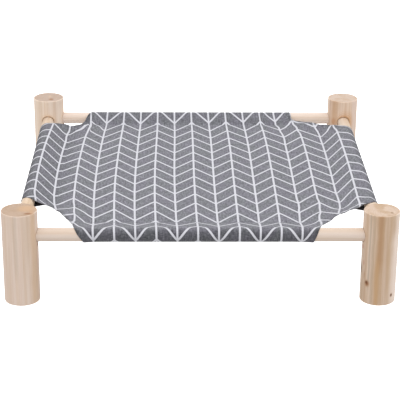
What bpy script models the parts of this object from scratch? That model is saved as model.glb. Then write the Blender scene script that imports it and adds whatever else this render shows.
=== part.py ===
"""Raised pet cot: four round pine legs, four pine dowel rails and one printed
canvas whose four sewn sleeves slide over the rails.

Metres, +Z up. The origin is on the floor, in the middle between the legs.
-Y is the front, +X is the right-hand side.
The canvas is one cut sheet on the real object. It is divided here along its
four sewing lines into a panel, four sleeves and the four rows of sewing
thread between them.
"""

import math

import bmesh
import bpy
from mathutils import Matrix, Vector
from mathutils.geometry import delaunay_2d_cdt

MM = 0.001

# ---- driving dimensions, in metres ----------------------------------------
LEG_SPACING = 500.0 * MM        # leg axis to leg axis, both ways
LEG_RADIUS = 25.0 * MM
LEG_HEIGHT = 135.0 * MM
LEG_EDGE = 1.2 * MM             # eased edge at the top and the foot
RAIL_RADIUS = 9.5 * MM
RAIL_HEIGHT = 98.0 * MM         # rail axis above the floor
RAIL_END = 12.3 * MM            # rail end to leg axis
RAIL_CHAMFER = 1.0 * MM
BORE_RADIUS = 9.8 * MM          # blind hole for a rail end
BORE_FLOOR = 12.0 * MM          # bottom of the blind hole to leg axis
FABRIC = 1.0 * MM               # one layer of canvas, with its gap to the rail
SLEEVE_BORE = 9.8 * MM          # inside of the sleeve, round the rail
SEAM_REACH = {                  # rail axis to the sewn tip of each sleeve
    "front": 47.7 * MM,
    "back": 28.2 * MM,
    "left": 40.5 * MM,
    "right": 41.1 * MM,
}
SEAM_HEIGHT = 95.7 * MM         # sewing lines and taut panel above the floor
SLEEVE_LENGTH = 342.0 * MM      # each sleeve, along its rail, at the top
SLEEVE_TAPER = 11.0 * MM        # how much shorter each end is underneath
SLEEVE_OFFSET = {               # middle of each sleeve along its rail
    "front": -4.0 * MM,
    "back": -12.0 * MM,
    "left": 28.0 * MM,
    "right": 13.0 * MM,
}
THREAD = 0.8 * MM               # width of the row of stitches
GAP = 0.3 * MM                  # clearance between touching pieces
PANEL_THICKNESS = 1.6 * MM
CORNER_BOW = 5.0 * MM           # how far each corner edge is hollowed
PANEL_STEP = 0.0315             # grid of the panel surface

HALF = LEG_SPACING / 2
SLEEVE_OUTER = SLEEVE_BORE + FABRIC
PANEL_EDGE = {                  # middle of the bed to each edge of the panel
    side: HALF - reach - THREAD - 2 * GAP
    for side, reach in SEAM_REACH.items()}


# ---- clean start -----------------------------------------------------------
for old in list(bpy.data.objects):
    bpy.data.objects.remove(old, do_unlink=True)


def material(name, colour, roughness, metallic=0.0):
    mat = bpy.data.materials.new(name)
    mat.use_nodes = True
    shader = mat.node_tree.nodes["Principled BSDF"]
    shader.inputs["Base Color"].default_value = (*colour, 1.0)
    shader.inputs["Roughness"].default_value = roughness
    shader.inputs["Metallic"].default_value = metallic
    mat.diffuse_color = (*colour, 1.0)
    return mat


PINE_LEG = material("pine_leg", (0.76, 0.58, 0.40), 0.55)
PINE_RAIL = material("pine_rail", (0.82, 0.66, 0.50), 0.50)
CANVAS = material("printed_canvas", (0.25, 0.25, 0.28), 0.90)
THREAD_MAT = material("sewing_thread", (0.30, 0.30, 0.33), 0.80)


def add_object(name, bm, mat, smooth_angle=None):
    """Turns a bmesh into a named object with one material."""
    bmesh.ops.recalc_face_normals(bm, faces=bm.faces)
    if bm.calc_volume(signed=True) < 0:
        bmesh.ops.reverse_faces(bm, faces=bm.faces)
    mesh = bpy.data.meshes.new(name)
    bm.to_mesh(mesh)
    bm.free()
    if smooth_angle is not None:
        mesh.shade_smooth()
        mesh.set_sharp_from_angle(angle=math.radians(smooth_angle))
    obj = bpy.data.objects.new(name, mesh)
    bpy.context.scene.collection.objects.link(obj)
    if mat is not None:
        mesh.materials.append(mat)
    return obj


# ---- turned pieces ---------------------------------------------------------
def rod(radius, z0, z1, ease, segments, ease_steps):
    """A round bar along Z from z0 to z1 with both end edges eased."""
    bm = bmesh.new()
    bmesh.ops.create_cone(
        bm, cap_ends=True, segments=segments, radius1=radius, radius2=radius,
        depth=z1 - z0, matrix=Matrix.Translation((0, 0, (z0 + z1) / 2)))
    ends = [e for e in bm.edges
            if abs(e.verts[0].co.z - e.verts[1].co.z) < 1e-7]
    bmesh.ops.bevel(bm, geom=ends, offset=ease, offset_type="OFFSET",
                    segments=ease_steps, profile=0.5, affect="EDGES")
    return bm


def bore_cutter(name, turn):
    """A round cutter that reaches from the blind hole's floor to outside."""
    bm = rod(BORE_RADIUS, BORE_FLOOR, LEG_RADIUS * 1.6, 0.2 * MM, 40, 1)
    along_x = Matrix.Rotation(math.radians(90), 4, "Y")
    place = Matrix.Rotation(turn, 4, "Z") @ along_x
    bm.transform(Matrix.Translation((0, 0, RAIL_HEIGHT)) @ place)
    obj = add_object(name, bm, None)
    obj.hide_render = True
    obj.hide_viewport = False
    obj.display_type = "WIRE"
    return obj


LEGS = {
    "leg_front_left": (-1, -1, 0),
    "leg_front_right": (1, -1, 90),
    "leg_back_right": (1, 1, 180),
    "leg_back_left": (-1, 1, 270),
}
for leg_name, (sx, sy, turn_deg) in LEGS.items():
    leg = add_object(leg_name, rod(LEG_RADIUS, 0.0, LEG_HEIGHT, LEG_EDGE, 48, 2),
                     PINE_LEG, 40)
    leg.location = (sx * HALF, sy * HALF, 0.0)
    leg.rotation_euler = (0.0, 0.0, math.radians(turn_deg))
    for k, turn in enumerate((0.0, math.radians(90))):
        cutter = bore_cutter(f"{leg_name}_bore_cutter_{k + 1}", turn)
        cutter.parent = leg
        cut = leg.modifiers.new(f"bore_{k + 1}", "BOOLEAN")
        cut.operation = "DIFFERENCE"
        cut.solver = "EXACT"
        cut.object = cutter

SIDES = {                       # turn that carries the front side to this one
    "front": 0,
    "right": 90,
    "back": 180,
    "left": 270,
}
for side, turn_deg in SIDES.items():
    bm = rod(RAIL_RADIUS, -(HALF - RAIL_END), HALF - RAIL_END, RAIL_CHAMFER,
             40, 1)
    bm.transform(Matrix.Rotation(math.radians(90), 4, "Y"))
    rail = add_object(f"rail_{side}", bm, PINE_RAIL, 40)
    turn = Matrix.Rotation(math.radians(turn_deg), 4, "Z")
    rail.location = turn @ Vector((0.0, -HALF, RAIL_HEIGHT))
    rail.rotation_euler = (0.0, 0.0, math.radians(turn_deg))


# ---- sleeves ---------------------------------------------------------------
def tangent_angle(px, pz, radius, upper):
    """Angle, on a circle at the origin, where the line from (px, pz) touches."""
    reach = math.hypot(px, pz)
    base = math.atan2(pz, px)
    spread = math.acos(radius / reach)
    return base + spread if upper else base - spread


def sleeve_loop(radius, tip, half_tip, steps):
    """Closed teardrop: tip top, tangent, round the rail, tangent, tip bottom.

    The first coordinate is the distance inward from the rail axis, the second
    is the height above it.
    """
    drop = SEAM_HEIGHT - RAIL_HEIGHT
    top, low = (tip, drop + half_tip), (tip, drop - half_tip)
    a0 = tangent_angle(*top, radius, True)
    a1 = tangent_angle(*low, radius, False) + 2 * math.pi
    points = [top]
    for k in range(steps + 1):
        a = a0 + (a1 - a0) * k / steps
        points.append((radius * math.cos(a), radius * math.sin(a)))
    points.append(low)
    return points


def sleeve(side, turn_deg):
    """One tube of canvas round a rail, sewn flat along its inner edge."""
    reach = SEAM_REACH[side]
    outer = sleeve_loop(SLEEVE_OUTER, reach, FABRIC, 26)
    inner = sleeve_loop(SLEEVE_BORE, reach - 4 * MM, 0.15 * MM, 26)
    count = len(outer)
    turn = math.radians(turn_deg)
    local = Matrix.Rotation(turn, 4, "Z")
    sign = 1.0 if side in ("front", "right") else -1.0
    middle = sign * SLEEVE_OFFSET[side]
    stations = (-1.0, -0.5, 0.0, 0.5, 1.0)
    bm = bmesh.new()
    rings = []
    for s in stations:
        ring = []
        for loop in (outer, inner):
            verts = []
            for k, (inward, up) in enumerate(loop):
                short = SLEEVE_TAPER * k / (count - 1)
                along = middle + s * (SLEEVE_LENGTH / 2 - short)
                verts.append(bm.verts.new(
                    local @ Vector((along, -HALF + inward,
                                    RAIL_HEIGHT + up))))
            ring.append(verts)
        rings.append(ring)
    for a, b in zip(rings, rings[1:]):
        for which in (0, 1):
            for k in range(count):
                n = (k + 1) % count
                bm.faces.new((a[which][k], a[which][n], b[which][n],
                              b[which][k]))
    for ring in (rings[0], rings[-1]):
        for k in range(count):
            n = (k + 1) % count
            bm.faces.new((ring[0][k], ring[0][n], ring[1][n], ring[1][k]))
    return add_object(f"sleeve_{side}", bm, CANVAS, 50)


def seam_thread(side, turn_deg):
    """The row of stitches between a sleeve and the panel, as one strip."""
    sign = 1.0 if side in ("front", "right") else -1.0
    middle = sign * SLEEVE_OFFSET[side]
    bm = bmesh.new()
    bmesh.ops.create_cube(bm, size=1.0)
    bm.transform(
        Matrix.Rotation(math.radians(turn_deg), 4, "Z")
        @ Matrix.Translation((middle,
                              -HALF + SEAM_REACH[side] + GAP + THREAD / 2,
                              SEAM_HEIGHT))
        @ Matrix.Diagonal((SLEEVE_LENGTH - 2 * MM, THREAD, 2 * FABRIC, 1.0)))
    return add_object(f"seam_thread_{side}", bm, THREAD_MAT)


for side, turn_deg in SIDES.items():
    sleeve(side, turn_deg)
    seam_thread(side, turn_deg)


# ---- panel -----------------------------------------------------------------
def corner_edge(start, end, steps):
    """Hollow corner edge from one sleeve end to the next, without the ends."""
    start, end = Vector(start), Vector(end)
    middle = (start + end) / 2
    inward = -middle.normalized()
    control = middle + inward * 2 * CORNER_BOW
    points = []
    for k in range(1, steps):
        t = k / steps
        points.append(start * (1 - t) ** 2 + control * 2 * t * (1 - t)
                      + end * t * t)
    return points


def panel_outline():
    """Outline of the panel, anticlockwise from the front left seam end."""
    h = SLEEVE_LENGTH / 2
    f, b = SLEEVE_OFFSET["front"], SLEEVE_OFFSET["back"]
    l, r = SLEEVE_OFFSET["left"], SLEEVE_OFFSET["right"]
    e = PANEL_EDGE
    seams = [
        ((f - h, -e["front"]), (f + h, -e["front"])),
        ((e["right"], r - h), (e["right"], r + h)),
        ((b + h, e["back"]), (b - h, e["back"])),
        ((-e["left"], l + h), (-e["left"], l - h)),
    ]
    outline = []
    for k, (start, end) in enumerate(seams):
        s, t = Vector(start), Vector(end)
        pieces = 11
        outline += [s.lerp(t, i / pieces) for i in range(pieces + 1)]
        outline += corner_edge(end, seams[(k + 1) % 4][0], 8)
    return outline


def panel():
    """The canvas between the four sewing lines, as one closed thin solid."""
    outline = panel_outline()
    count = len(outline)
    points = list(outline)
    low_corner = Vector((-PANEL_EDGE["left"], -PANEL_EDGE["front"]))
    width = PANEL_EDGE["left"] + PANEL_EDGE["right"]
    depth = PANEL_EDGE["front"] + PANEL_EDGE["back"]
    steps = int(width / PANEL_STEP)
    for i in range(1, steps):
        for j in range(1, steps):
            p = low_corner + Vector((width * i / steps, depth * j / steps))
            if inside(p, outline) and clear_of(p, outline, PANEL_STEP * 0.45):
                points.append(p)
    edges = [(k, (k + 1) % count) for k in range(count)]
    verts, _, faces, _, _, _ = delaunay_2d_cdt(points, edges, [], 1, 1e-7)
    bm = bmesh.new()
    half = PANEL_THICKNESS / 2
    top = [bm.verts.new((p.x, p.y, SEAM_HEIGHT + half)) for p in verts]
    low = [bm.verts.new((p.x, p.y, SEAM_HEIGHT - half)) for p in verts]
    used = {}
    for face in faces:
        bm.faces.new([top[i] for i in face])
        bm.faces.new([low[i] for i in reversed(face)])
        for k in range(len(face)):
            a, b = face[k], face[(k + 1) % len(face)]
            used[(a, b)] = used.get((a, b), 0) + 1
    for a, b in list(used):
        if (b, a) not in used:
            bm.faces.new((top[b], top[a], low[a], low[b]))
    loose = [v for v in bm.verts if not v.link_faces]
    bmesh.ops.delete(bm, geom=loose, context="VERTS")
    return add_object("canvas_panel", bm, CANVAS, 40)


def inside(p, outline):
    """True where p lies inside the outline."""
    odd = False
    for k, a in enumerate(outline):
        b = outline[(k + 1) % len(outline)]
        if (a.y > p.y) != (b.y > p.y):
            if p.x < (b.x - a.x) * (p.y - a.y) / (b.y - a.y) + a.x:
                odd = not odd
    return odd


def clear_of(p, outline, distance):
    """True where p is at least that far from every outline point."""
    return all((p - a).length > distance for a in outline)


panel()
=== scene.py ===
"""Raised pet cot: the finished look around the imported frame.

Metres, +Z up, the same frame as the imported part. Lengths named *_MM are in
millimetres. The canvas is one continuous sheet here: a panel with a hollowed
cut at each corner and a flap on each side, which goes over its rail, comes
back underneath and is hemmed and sewn to the panel.
"""

import math

import bmesh
import bpy
import numpy as np
from mathutils import Matrix, Vector
from mathutils.geometry import delaunay_2d_cdt


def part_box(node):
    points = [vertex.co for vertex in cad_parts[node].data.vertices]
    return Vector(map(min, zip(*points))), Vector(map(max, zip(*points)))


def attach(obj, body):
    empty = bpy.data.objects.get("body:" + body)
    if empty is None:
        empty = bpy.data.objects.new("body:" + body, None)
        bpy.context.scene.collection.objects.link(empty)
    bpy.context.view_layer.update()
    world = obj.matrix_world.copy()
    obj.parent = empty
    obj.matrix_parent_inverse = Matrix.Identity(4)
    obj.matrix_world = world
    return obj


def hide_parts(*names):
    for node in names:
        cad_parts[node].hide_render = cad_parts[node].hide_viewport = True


MM = 0.001

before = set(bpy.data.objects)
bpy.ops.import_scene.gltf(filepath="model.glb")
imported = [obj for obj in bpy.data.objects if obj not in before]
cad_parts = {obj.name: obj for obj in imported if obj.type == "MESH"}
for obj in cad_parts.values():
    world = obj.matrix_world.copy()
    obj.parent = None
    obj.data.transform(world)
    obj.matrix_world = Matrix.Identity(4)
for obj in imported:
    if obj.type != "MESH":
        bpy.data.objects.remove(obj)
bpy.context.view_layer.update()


# ---------------------------------------------------------------------------
# camera
# ---------------------------------------------------------------------------
def make_camera():
    """Looks down on the bed from the front, a little left of the middle."""
    pitch, yaw, roll = 0.38561, 0.01926, 0.00772
    place = Vector((-36.336, -2067.856, 887.746)) * MM
    forward = Vector((math.sin(yaw) * math.cos(pitch),
                      math.cos(yaw) * math.cos(pitch), -math.sin(pitch)))
    right = Vector((math.cos(yaw), -math.sin(yaw), 0.0))
    up = right.cross(forward)
    right, up = (right * math.cos(roll) + up * math.sin(roll),
                 up * math.cos(roll) - right * math.sin(roll))
    data = bpy.data.cameras.new("camera")
    data.sensor_width = 36.0
    data.lens = 1430.154 / 400 * 36.0
    data.clip_start, data.clip_end = 0.05, 50.0
    camera = bpy.data.objects.new("camera", data)
    camera.matrix_world = Matrix((
        (right.x, up.x, -forward.x, place.x),
        (right.y, up.y, -forward.y, place.y),
        (right.z, up.z, -forward.z, place.z),
        (0, 0, 0, 1)))
    bpy.context.scene.collection.objects.link(camera)
    bpy.context.scene.camera = camera


make_camera()


# ---------------------------------------------------------------------------
# node trees
# ---------------------------------------------------------------------------
class Tree:
    """Short hand for building a material's nodes."""

    def __init__(self, name):
        self.material = bpy.data.materials.new(name)
        self.material.use_nodes = True
        self.tree = self.material.node_tree
        self.shader = self.tree.nodes["Principled BSDF"]
        self.column = 0

    def put(self, socket, value):
        if value is None:
            return
        if isinstance(value, bpy.types.NodeSocket):
            self.tree.links.new(value, socket)
        else:
            socket.default_value = value

    def add(self, kind, **settings):
        node = self.tree.nodes.new(kind)
        self.column += 1
        node.location = (-220 * (self.column % 12) - 300,
                         -180 * (self.column // 12))
        for key, value in settings.items():
            setattr(node, key, value)
        return node

    def math(self, operation, a, b=None, c=None, clamp=False):
        node = self.add("ShaderNodeMath", operation=operation,
                        use_clamp=clamp)
        for socket, value in zip(node.inputs, (a, b, c)):
            self.put(socket, value)
        return node.outputs[0]

    def vector(self, operation, a, b=None):
        node = self.add("ShaderNodeVectorMath", operation=operation)
        self.put(node.inputs[0], a)
        if operation == "SCALE":
            self.put(node.inputs["Scale"], b)
        else:
            self.put(node.inputs[1], b)
        if operation in ("LENGTH", "DOT_PRODUCT", "DISTANCE"):
            return node.outputs["Value"]
        return node.outputs["Vector"]

    def split(self, vector):
        node = self.add("ShaderNodeSeparateXYZ")
        self.put(node.inputs[0], vector)
        return node.outputs[0], node.outputs[1], node.outputs[2]

    def join(self, x, y, z=0.0):
        node = self.add("ShaderNodeCombineXYZ")
        for socket, value in zip(node.inputs, (x, y, z)):
            self.put(socket, value)
        return node.outputs[0]

    def noise(self, vector, scale=1.0, detail=2.0, roughness=0.5,
              distortion=0.0):
        node = self.add("ShaderNodeTexNoise", noise_dimensions="3D")
        self.put(node.inputs["Vector"], vector)
        self.put(node.inputs["Scale"], scale)
        self.put(node.inputs["Detail"], detail)
        self.put(node.inputs["Roughness"], roughness)
        self.put(node.inputs["Distortion"], distortion)
        return node.outputs[0]

    def step(self, value, low, high, to_low=0.0, to_high=1.0,
             kind="SMOOTHSTEP"):
        node = self.add("ShaderNodeMapRange", interpolation_type=kind)
        for socket, v in zip(node.inputs[:5],
                             (value, low, high, to_low, to_high)):
            self.put(socket, v)
        return node.outputs[0]

    def mix(self, factor, a, b, blend="MIX"):
        node = self.add("ShaderNodeMix", data_type="RGBA", blend_type=blend,
                        clamp_factor=True)
        self.put(node.inputs[0], factor)
        for socket, value in ((node.inputs[6], a), (node.inputs[7], b)):
            if isinstance(value, tuple) and len(value) == 3:
                value = (*value, 1.0)
            self.put(socket, value)
        return node.outputs[2]

    def tint(self, colour, amount):
        """Colour times a grey amount."""
        node = self.add("ShaderNodeVectorMath", operation="SCALE")
        if isinstance(colour, tuple):
            colour = colour[:3]
        self.put(node.inputs[0], colour)
        self.put(node.inputs["Scale"], amount)
        return node.outputs["Vector"]

    def bump(self, height, strength, distance, normal=None):
        node = self.add("ShaderNodeBump")
        self.put(node.inputs["Height"], height)
        self.put(node.inputs["Strength"], strength)
        self.put(node.inputs["Distance"], distance)
        self.put(node.inputs["Normal"], normal)
        return node.outputs[0]


def srgb(r, g, b):
    """Linear colour of an 8-bit display colour."""
    def one(c):
        c /= 255.0
        return c / 12.92 if c <= 0.04045 else ((c + 0.055) / 1.055) ** 2.4
    return (one(r), one(g), one(b))


# ---------------------------------------------------------------------------
# pine
# ---------------------------------------------------------------------------
def pine(name, seed, pale, warm, pith=(0.0, 0.0), lean=(0.0, 0.0), along="z",
         ring=3.2, ring_depth=0.10, streak=0.10, marks=(), hole_rim_and_shadow=0.0,
         hole_height=98.0, end_tone=0.93, roughness=0.56, blush=0.5,
         bands=(), end_tint=(1.0, 1.0, 1.0), sway=6.0, stripes=0.42,
         edge_highlight=0.55, stain=None):
    """Solid pine: rings about the pith, fibres and streaks along the grain.

    The texture is solid, so end grain and side grain belong together.
    Marks are knots, stains and pith flecks, each placed in the object's own
    millimetres: (x, y, z, size x, size y, size z, colour, strength, rings).
    """
    t = Tree(name)
    coord = t.add("ShaderNodeTexCoord")
    place = t.vector("SCALE", coord.outputs["Object"], 1000.0)
    x, y, z = t.split(place)
    if along == "x":                    # the grain runs along local X
        x, y, z = y, z, x
    grain = t.join(x, y, z)
    offset = (seed * 37.1, seed * 17.3, seed * 71.9)
    shifted = t.vector("ADD", grain, offset)

    # how far the trunk's rings wander
    wander = t.add("ShaderNodeTexNoise", noise_dimensions="3D")
    t.put(wander.inputs["Vector"],
          t.vector("MULTIPLY", shifted, (0.05, 0.05, 0.0022)))
    t.put(wander.inputs["Scale"], 1.0)
    t.put(wander.inputs["Detail"], 2.0)
    wx, wy, _ = t.split(wander.outputs["Color"])
    px = t.math("ADD", t.math("SUBTRACT", x, pith[0]),
                t.math("MULTIPLY", t.math("SUBTRACT", wx, 0.5), sway))
    py = t.math("ADD", t.math("SUBTRACT", y, pith[1]),
                t.math("MULTIPLY", t.math("SUBTRACT", wy, 0.5), sway))
    px = t.math("ADD", px, t.math("MULTIPLY", z, lean[0]))
    py = t.math("ADD", py, t.math("MULTIPLY", z, lean[1]))
    radius = t.math("SQRT", t.math("ADD", t.math("MULTIPLY", px, px),
                                   t.math("MULTIPLY", py, py)))
    growth = t.noise(t.join(t.math("MULTIPLY", radius, 0.11), seed * 5.0, 0.0),
                     1.0, 1.0)
    turns = t.math("ADD", t.math("DIVIDE", radius, ring),
                   t.math("MULTIPLY", growth, 1.8))
    part = t.math("FRACT", turns)
    late = t.math("MULTIPLY", t.step(part, 0.45, 0.90),
                  t.step(part, 0.91, 1.0, 1.0, 0.0))

    # fibres, streaks and slow tone changes along the grain
    fibre = t.noise(t.vector("MULTIPLY", shifted, (2.1, 2.1, 0.05)), 1.0, 3.0,
                    0.6)
    band = t.noise(t.vector("MULTIPLY", shifted, (stripes, stripes, 0.004)), 1.0,
                   3.0, 0.55)
    slow = t.noise(t.vector("MULTIPLY", shifted, (0.07, 0.07, 0.006)), 1.0,
                   2.0)
    fleck = t.noise(t.vector("MULTIPLY", shifted, (3.3, 3.3, 0.16)), 1.0, 2.0,
                    0.5)

    colour = t.mix(t.step(slow, 0.40, 0.66), pale, warm)
    colour = t.mix(t.math("MULTIPLY", t.step(band, 0.46, 0.66), blush),
                   colour, tuple(c * k for c, k in
                                 zip(pale, (0.99, 0.90, 0.86))))
    tone = t.math("MULTIPLY_ADD", t.math("SUBTRACT", band, 0.5),
                  -2.0 * streak, 1.0)
    tone = t.math("MULTIPLY", tone, t.math(
        "MULTIPLY_ADD", t.math("SUBTRACT", fibre, 0.5), 0.16, 1.0))
    tone = t.math("MULTIPLY", tone, t.math(
        "MULTIPLY_ADD", late, -ring_depth, 1.0))
    tone = t.math("MULTIPLY", tone, t.math(
        "MULTIPLY_ADD", t.step(fleck, 0.66, 0.78), -0.09, 1.0))
    colour = t.tint(colour, tone)
    colour = t.mix(t.math("MULTIPLY", late, 0.35), colour,
                   t.mix(1.0, colour, (1.0, 0.90, 0.76), "MULTIPLY"))

    # sawn end grain drinks light; the eased edge round it is painted paler, a
    # painted highlight where it catches the light
    _, _, up = t.split(coord.outputs["Normal"])
    if along == "x":
        up, _, _ = t.split(coord.outputs["Normal"])
    up = t.math("ABSOLUTE", up)
    ends = t.step(up, 0.86, 0.97)
    # painted highlight on the slanted eased edge, found from the normal
    painted_edge_highlight = t.math("MULTIPLY", t.step(up, 0.22, 0.55),
                   t.step(up, 0.86, 0.97, 1.0, 0.0))
    colour = t.mix(t.math("MULTIPLY", painted_edge_highlight, edge_highlight), colour,
                   tuple(min(1.0, c * k) for c, k in
                         zip(pale, (1.12, 1.14, 1.16))))
    speck = t.noise(t.vector("MULTIPLY", place, (4.0, 4.0, 4.0)), 1.0, 2.0)
    end_colour = t.tint(colour, t.math(
        "MULTIPLY_ADD", t.math("SUBTRACT", speck, 0.5), 0.14, end_tone))
    end_colour = t.mix(1.0, end_colour, end_tint, "MULTIPLY")
    colour = t.mix(ends, colour, end_colour)

    # an older, yellower stretch of a rail: (colour, strength, from, to)
    if stain:
        tone_to, strength, start, stop = stain
        grown = t.step(t.math("ADD", z, t.math(
            "MULTIPLY", t.math("SUBTRACT", band, 0.5), 40.0)), start, stop)
        colour = t.mix(t.math("MULTIPLY", grown, strength), colour,
                       t.tint(tone_to, tone))

    # the rim of a drilled hole, browned and slightly torn, and darker above the
    # hole: painted shadow of the gap over the rail
    if hole_rim_and_shadow:
        lx, ly, lz = t.split(place)
        dz = t.math("SUBTRACT", lz, hole_height)
        for a, front in ((ly, lx), (lx, ly)):
            off = t.math("SQRT", t.math("ADD", t.math("MULTIPLY", a, a),
                                        t.math("MULTIPLY", dz, dz)))
            ragged = t.math("ADD", off, t.math(
                "MULTIPLY", t.math("SUBTRACT", fibre, 0.5), 1.6))
            rim = t.step(ragged, 10.2, 11.9, 1.0, 0.0)
            glow = t.math("MULTIPLY", t.step(ragged, 10.5, 17.0, 1.0, 0.0),
                          0.35)
            for spread, strength, shade in (
                    (glow, 1.0, (0.92, 0.80, 0.62)),
                    (rim, hole_rim_and_shadow, (0.50, 0.36, 0.24))):
                there = t.math("MULTIPLY", spread, t.step(front, 8.0, 12.0))
                # four times stronger above the hole's middle than below it:
                # painted shadow
                there = t.math("MULTIPLY", there, t.step(dz, -3.0, 7.0, 0.25,
                                                         1.0))
                colour = t.mix(t.math("MULTIPLY", there, strength), colour,
                               tuple(c * k for c, k in zip(warm, shade)))

    # colour bands that run up the grain: (angle, half width, colour,
    # strength, lowest, highest), in degrees and millimetres
    if bands:
        lx, ly, lz = t.split(place)
        angle = t.math("ARCTAN2", ly, lx)
        angle = t.math("ADD", angle, t.math(
            "MULTIPLY", t.math("SUBTRACT", t.noise(t.vector(
                "MULTIPLY", shifted, (0.02, 0.02, 0.035)), 1.0, 2.0), 0.5),
            0.10))
        for (at, half, tone_to, strength, low, high) in bands:
            off = t.math("WRAP", t.math("SUBTRACT", angle, math.radians(at)),
                         math.pi, -math.pi)
            off = t.math("ABSOLUTE", off)
            off = t.math("ADD", off, t.math(
                "MULTIPLY", t.math("SUBTRACT", fibre, 0.5),
                math.radians(half) * 0.9))
            there = t.step(off, math.radians(half) * 0.15,
                           math.radians(half) * 1.15, 1.0, 0.0)
            there = t.math("MULTIPLY", there, t.step(lz, low, low + 30))
            there = t.math("MULTIPLY", there, t.step(lz, high - 30, high,
                                                     1.0, 0.0))
            there = t.math("MULTIPLY", there,
                           t.math("SUBTRACT", 1.0, ends))
            colour = t.mix(t.math("MULTIPLY", there, strength), colour,
                           t.tint(tone_to, t.math("MULTIPLY_ADD", t.math(
                               "SUBTRACT", fibre, 0.5), 0.3, 1.0)))

    # knots, stains and pith flecks
    for (mx, my, mz, sx, sy, sz, tone_to, strength, rings) in marks:
        away = t.vector("SUBTRACT", place, (mx, my, mz))
        away = t.vector("DIVIDE", away, (sx, sy, sz))
        reach = t.vector("LENGTH", away)
        reach = t.math("ADD", reach, t.math(
            "MULTIPLY", t.math("SUBTRACT", fibre, 0.5),
            0.12 if rings else 0.7))
        spot = t.step(reach, 0.25, 1.05, 1.0, 0.0)
        if rings:
            wave = t.math("SINE", t.math("MULTIPLY", reach, 6.28 * rings))
            spot = t.math("MULTIPLY", spot,
                          t.math("MULTIPLY_ADD", wave, 0.42, 0.55))
        colour = t.mix(t.math("MULTIPLY", spot, strength), colour, tone_to)

    t.put(t.shader.inputs["Base Color"], colour)
    t.put(t.shader.inputs["Roughness"], t.math(
        "MULTIPLY_ADD", late, -0.08, roughness))
    t.shader.inputs["Specular IOR Level"].default_value = 0.35
    relief = t.math("ADD", t.math("MULTIPLY", fibre, 0.6),
                    t.math("MULTIPLY", late, 0.4))
    t.put(t.shader.inputs["Normal"], t.bump(relief, 0.35, 0.00025))
    return t.material


# ---------------------------------------------------------------------------
# meshes of wood
# ---------------------------------------------------------------------------
def waves(rng, count, low, high):
    """A smooth periodic function of an angle, about -1 to 1."""
    parts = [(int(rng.integers(low, high)), rng.uniform(0, 2 * math.pi),
              rng.uniform(0.4, 1.0)) for _ in range(count)]
    total = sum(p[2] for p in parts) * 0.6

    def value(angle):
        return sum(w * math.sin(n * angle + p) for n, p, w in parts) / total
    return value


LEG_RADIUS_MM = 25.0
BORE_MM = 9.8
BORE_FLOOR_MM = 12.0
FLARE_MM = 0.55                 # the torn rim of a drilled hole
EASE_MM = 1.3                   # sanded edge at the top and the foot


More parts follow.
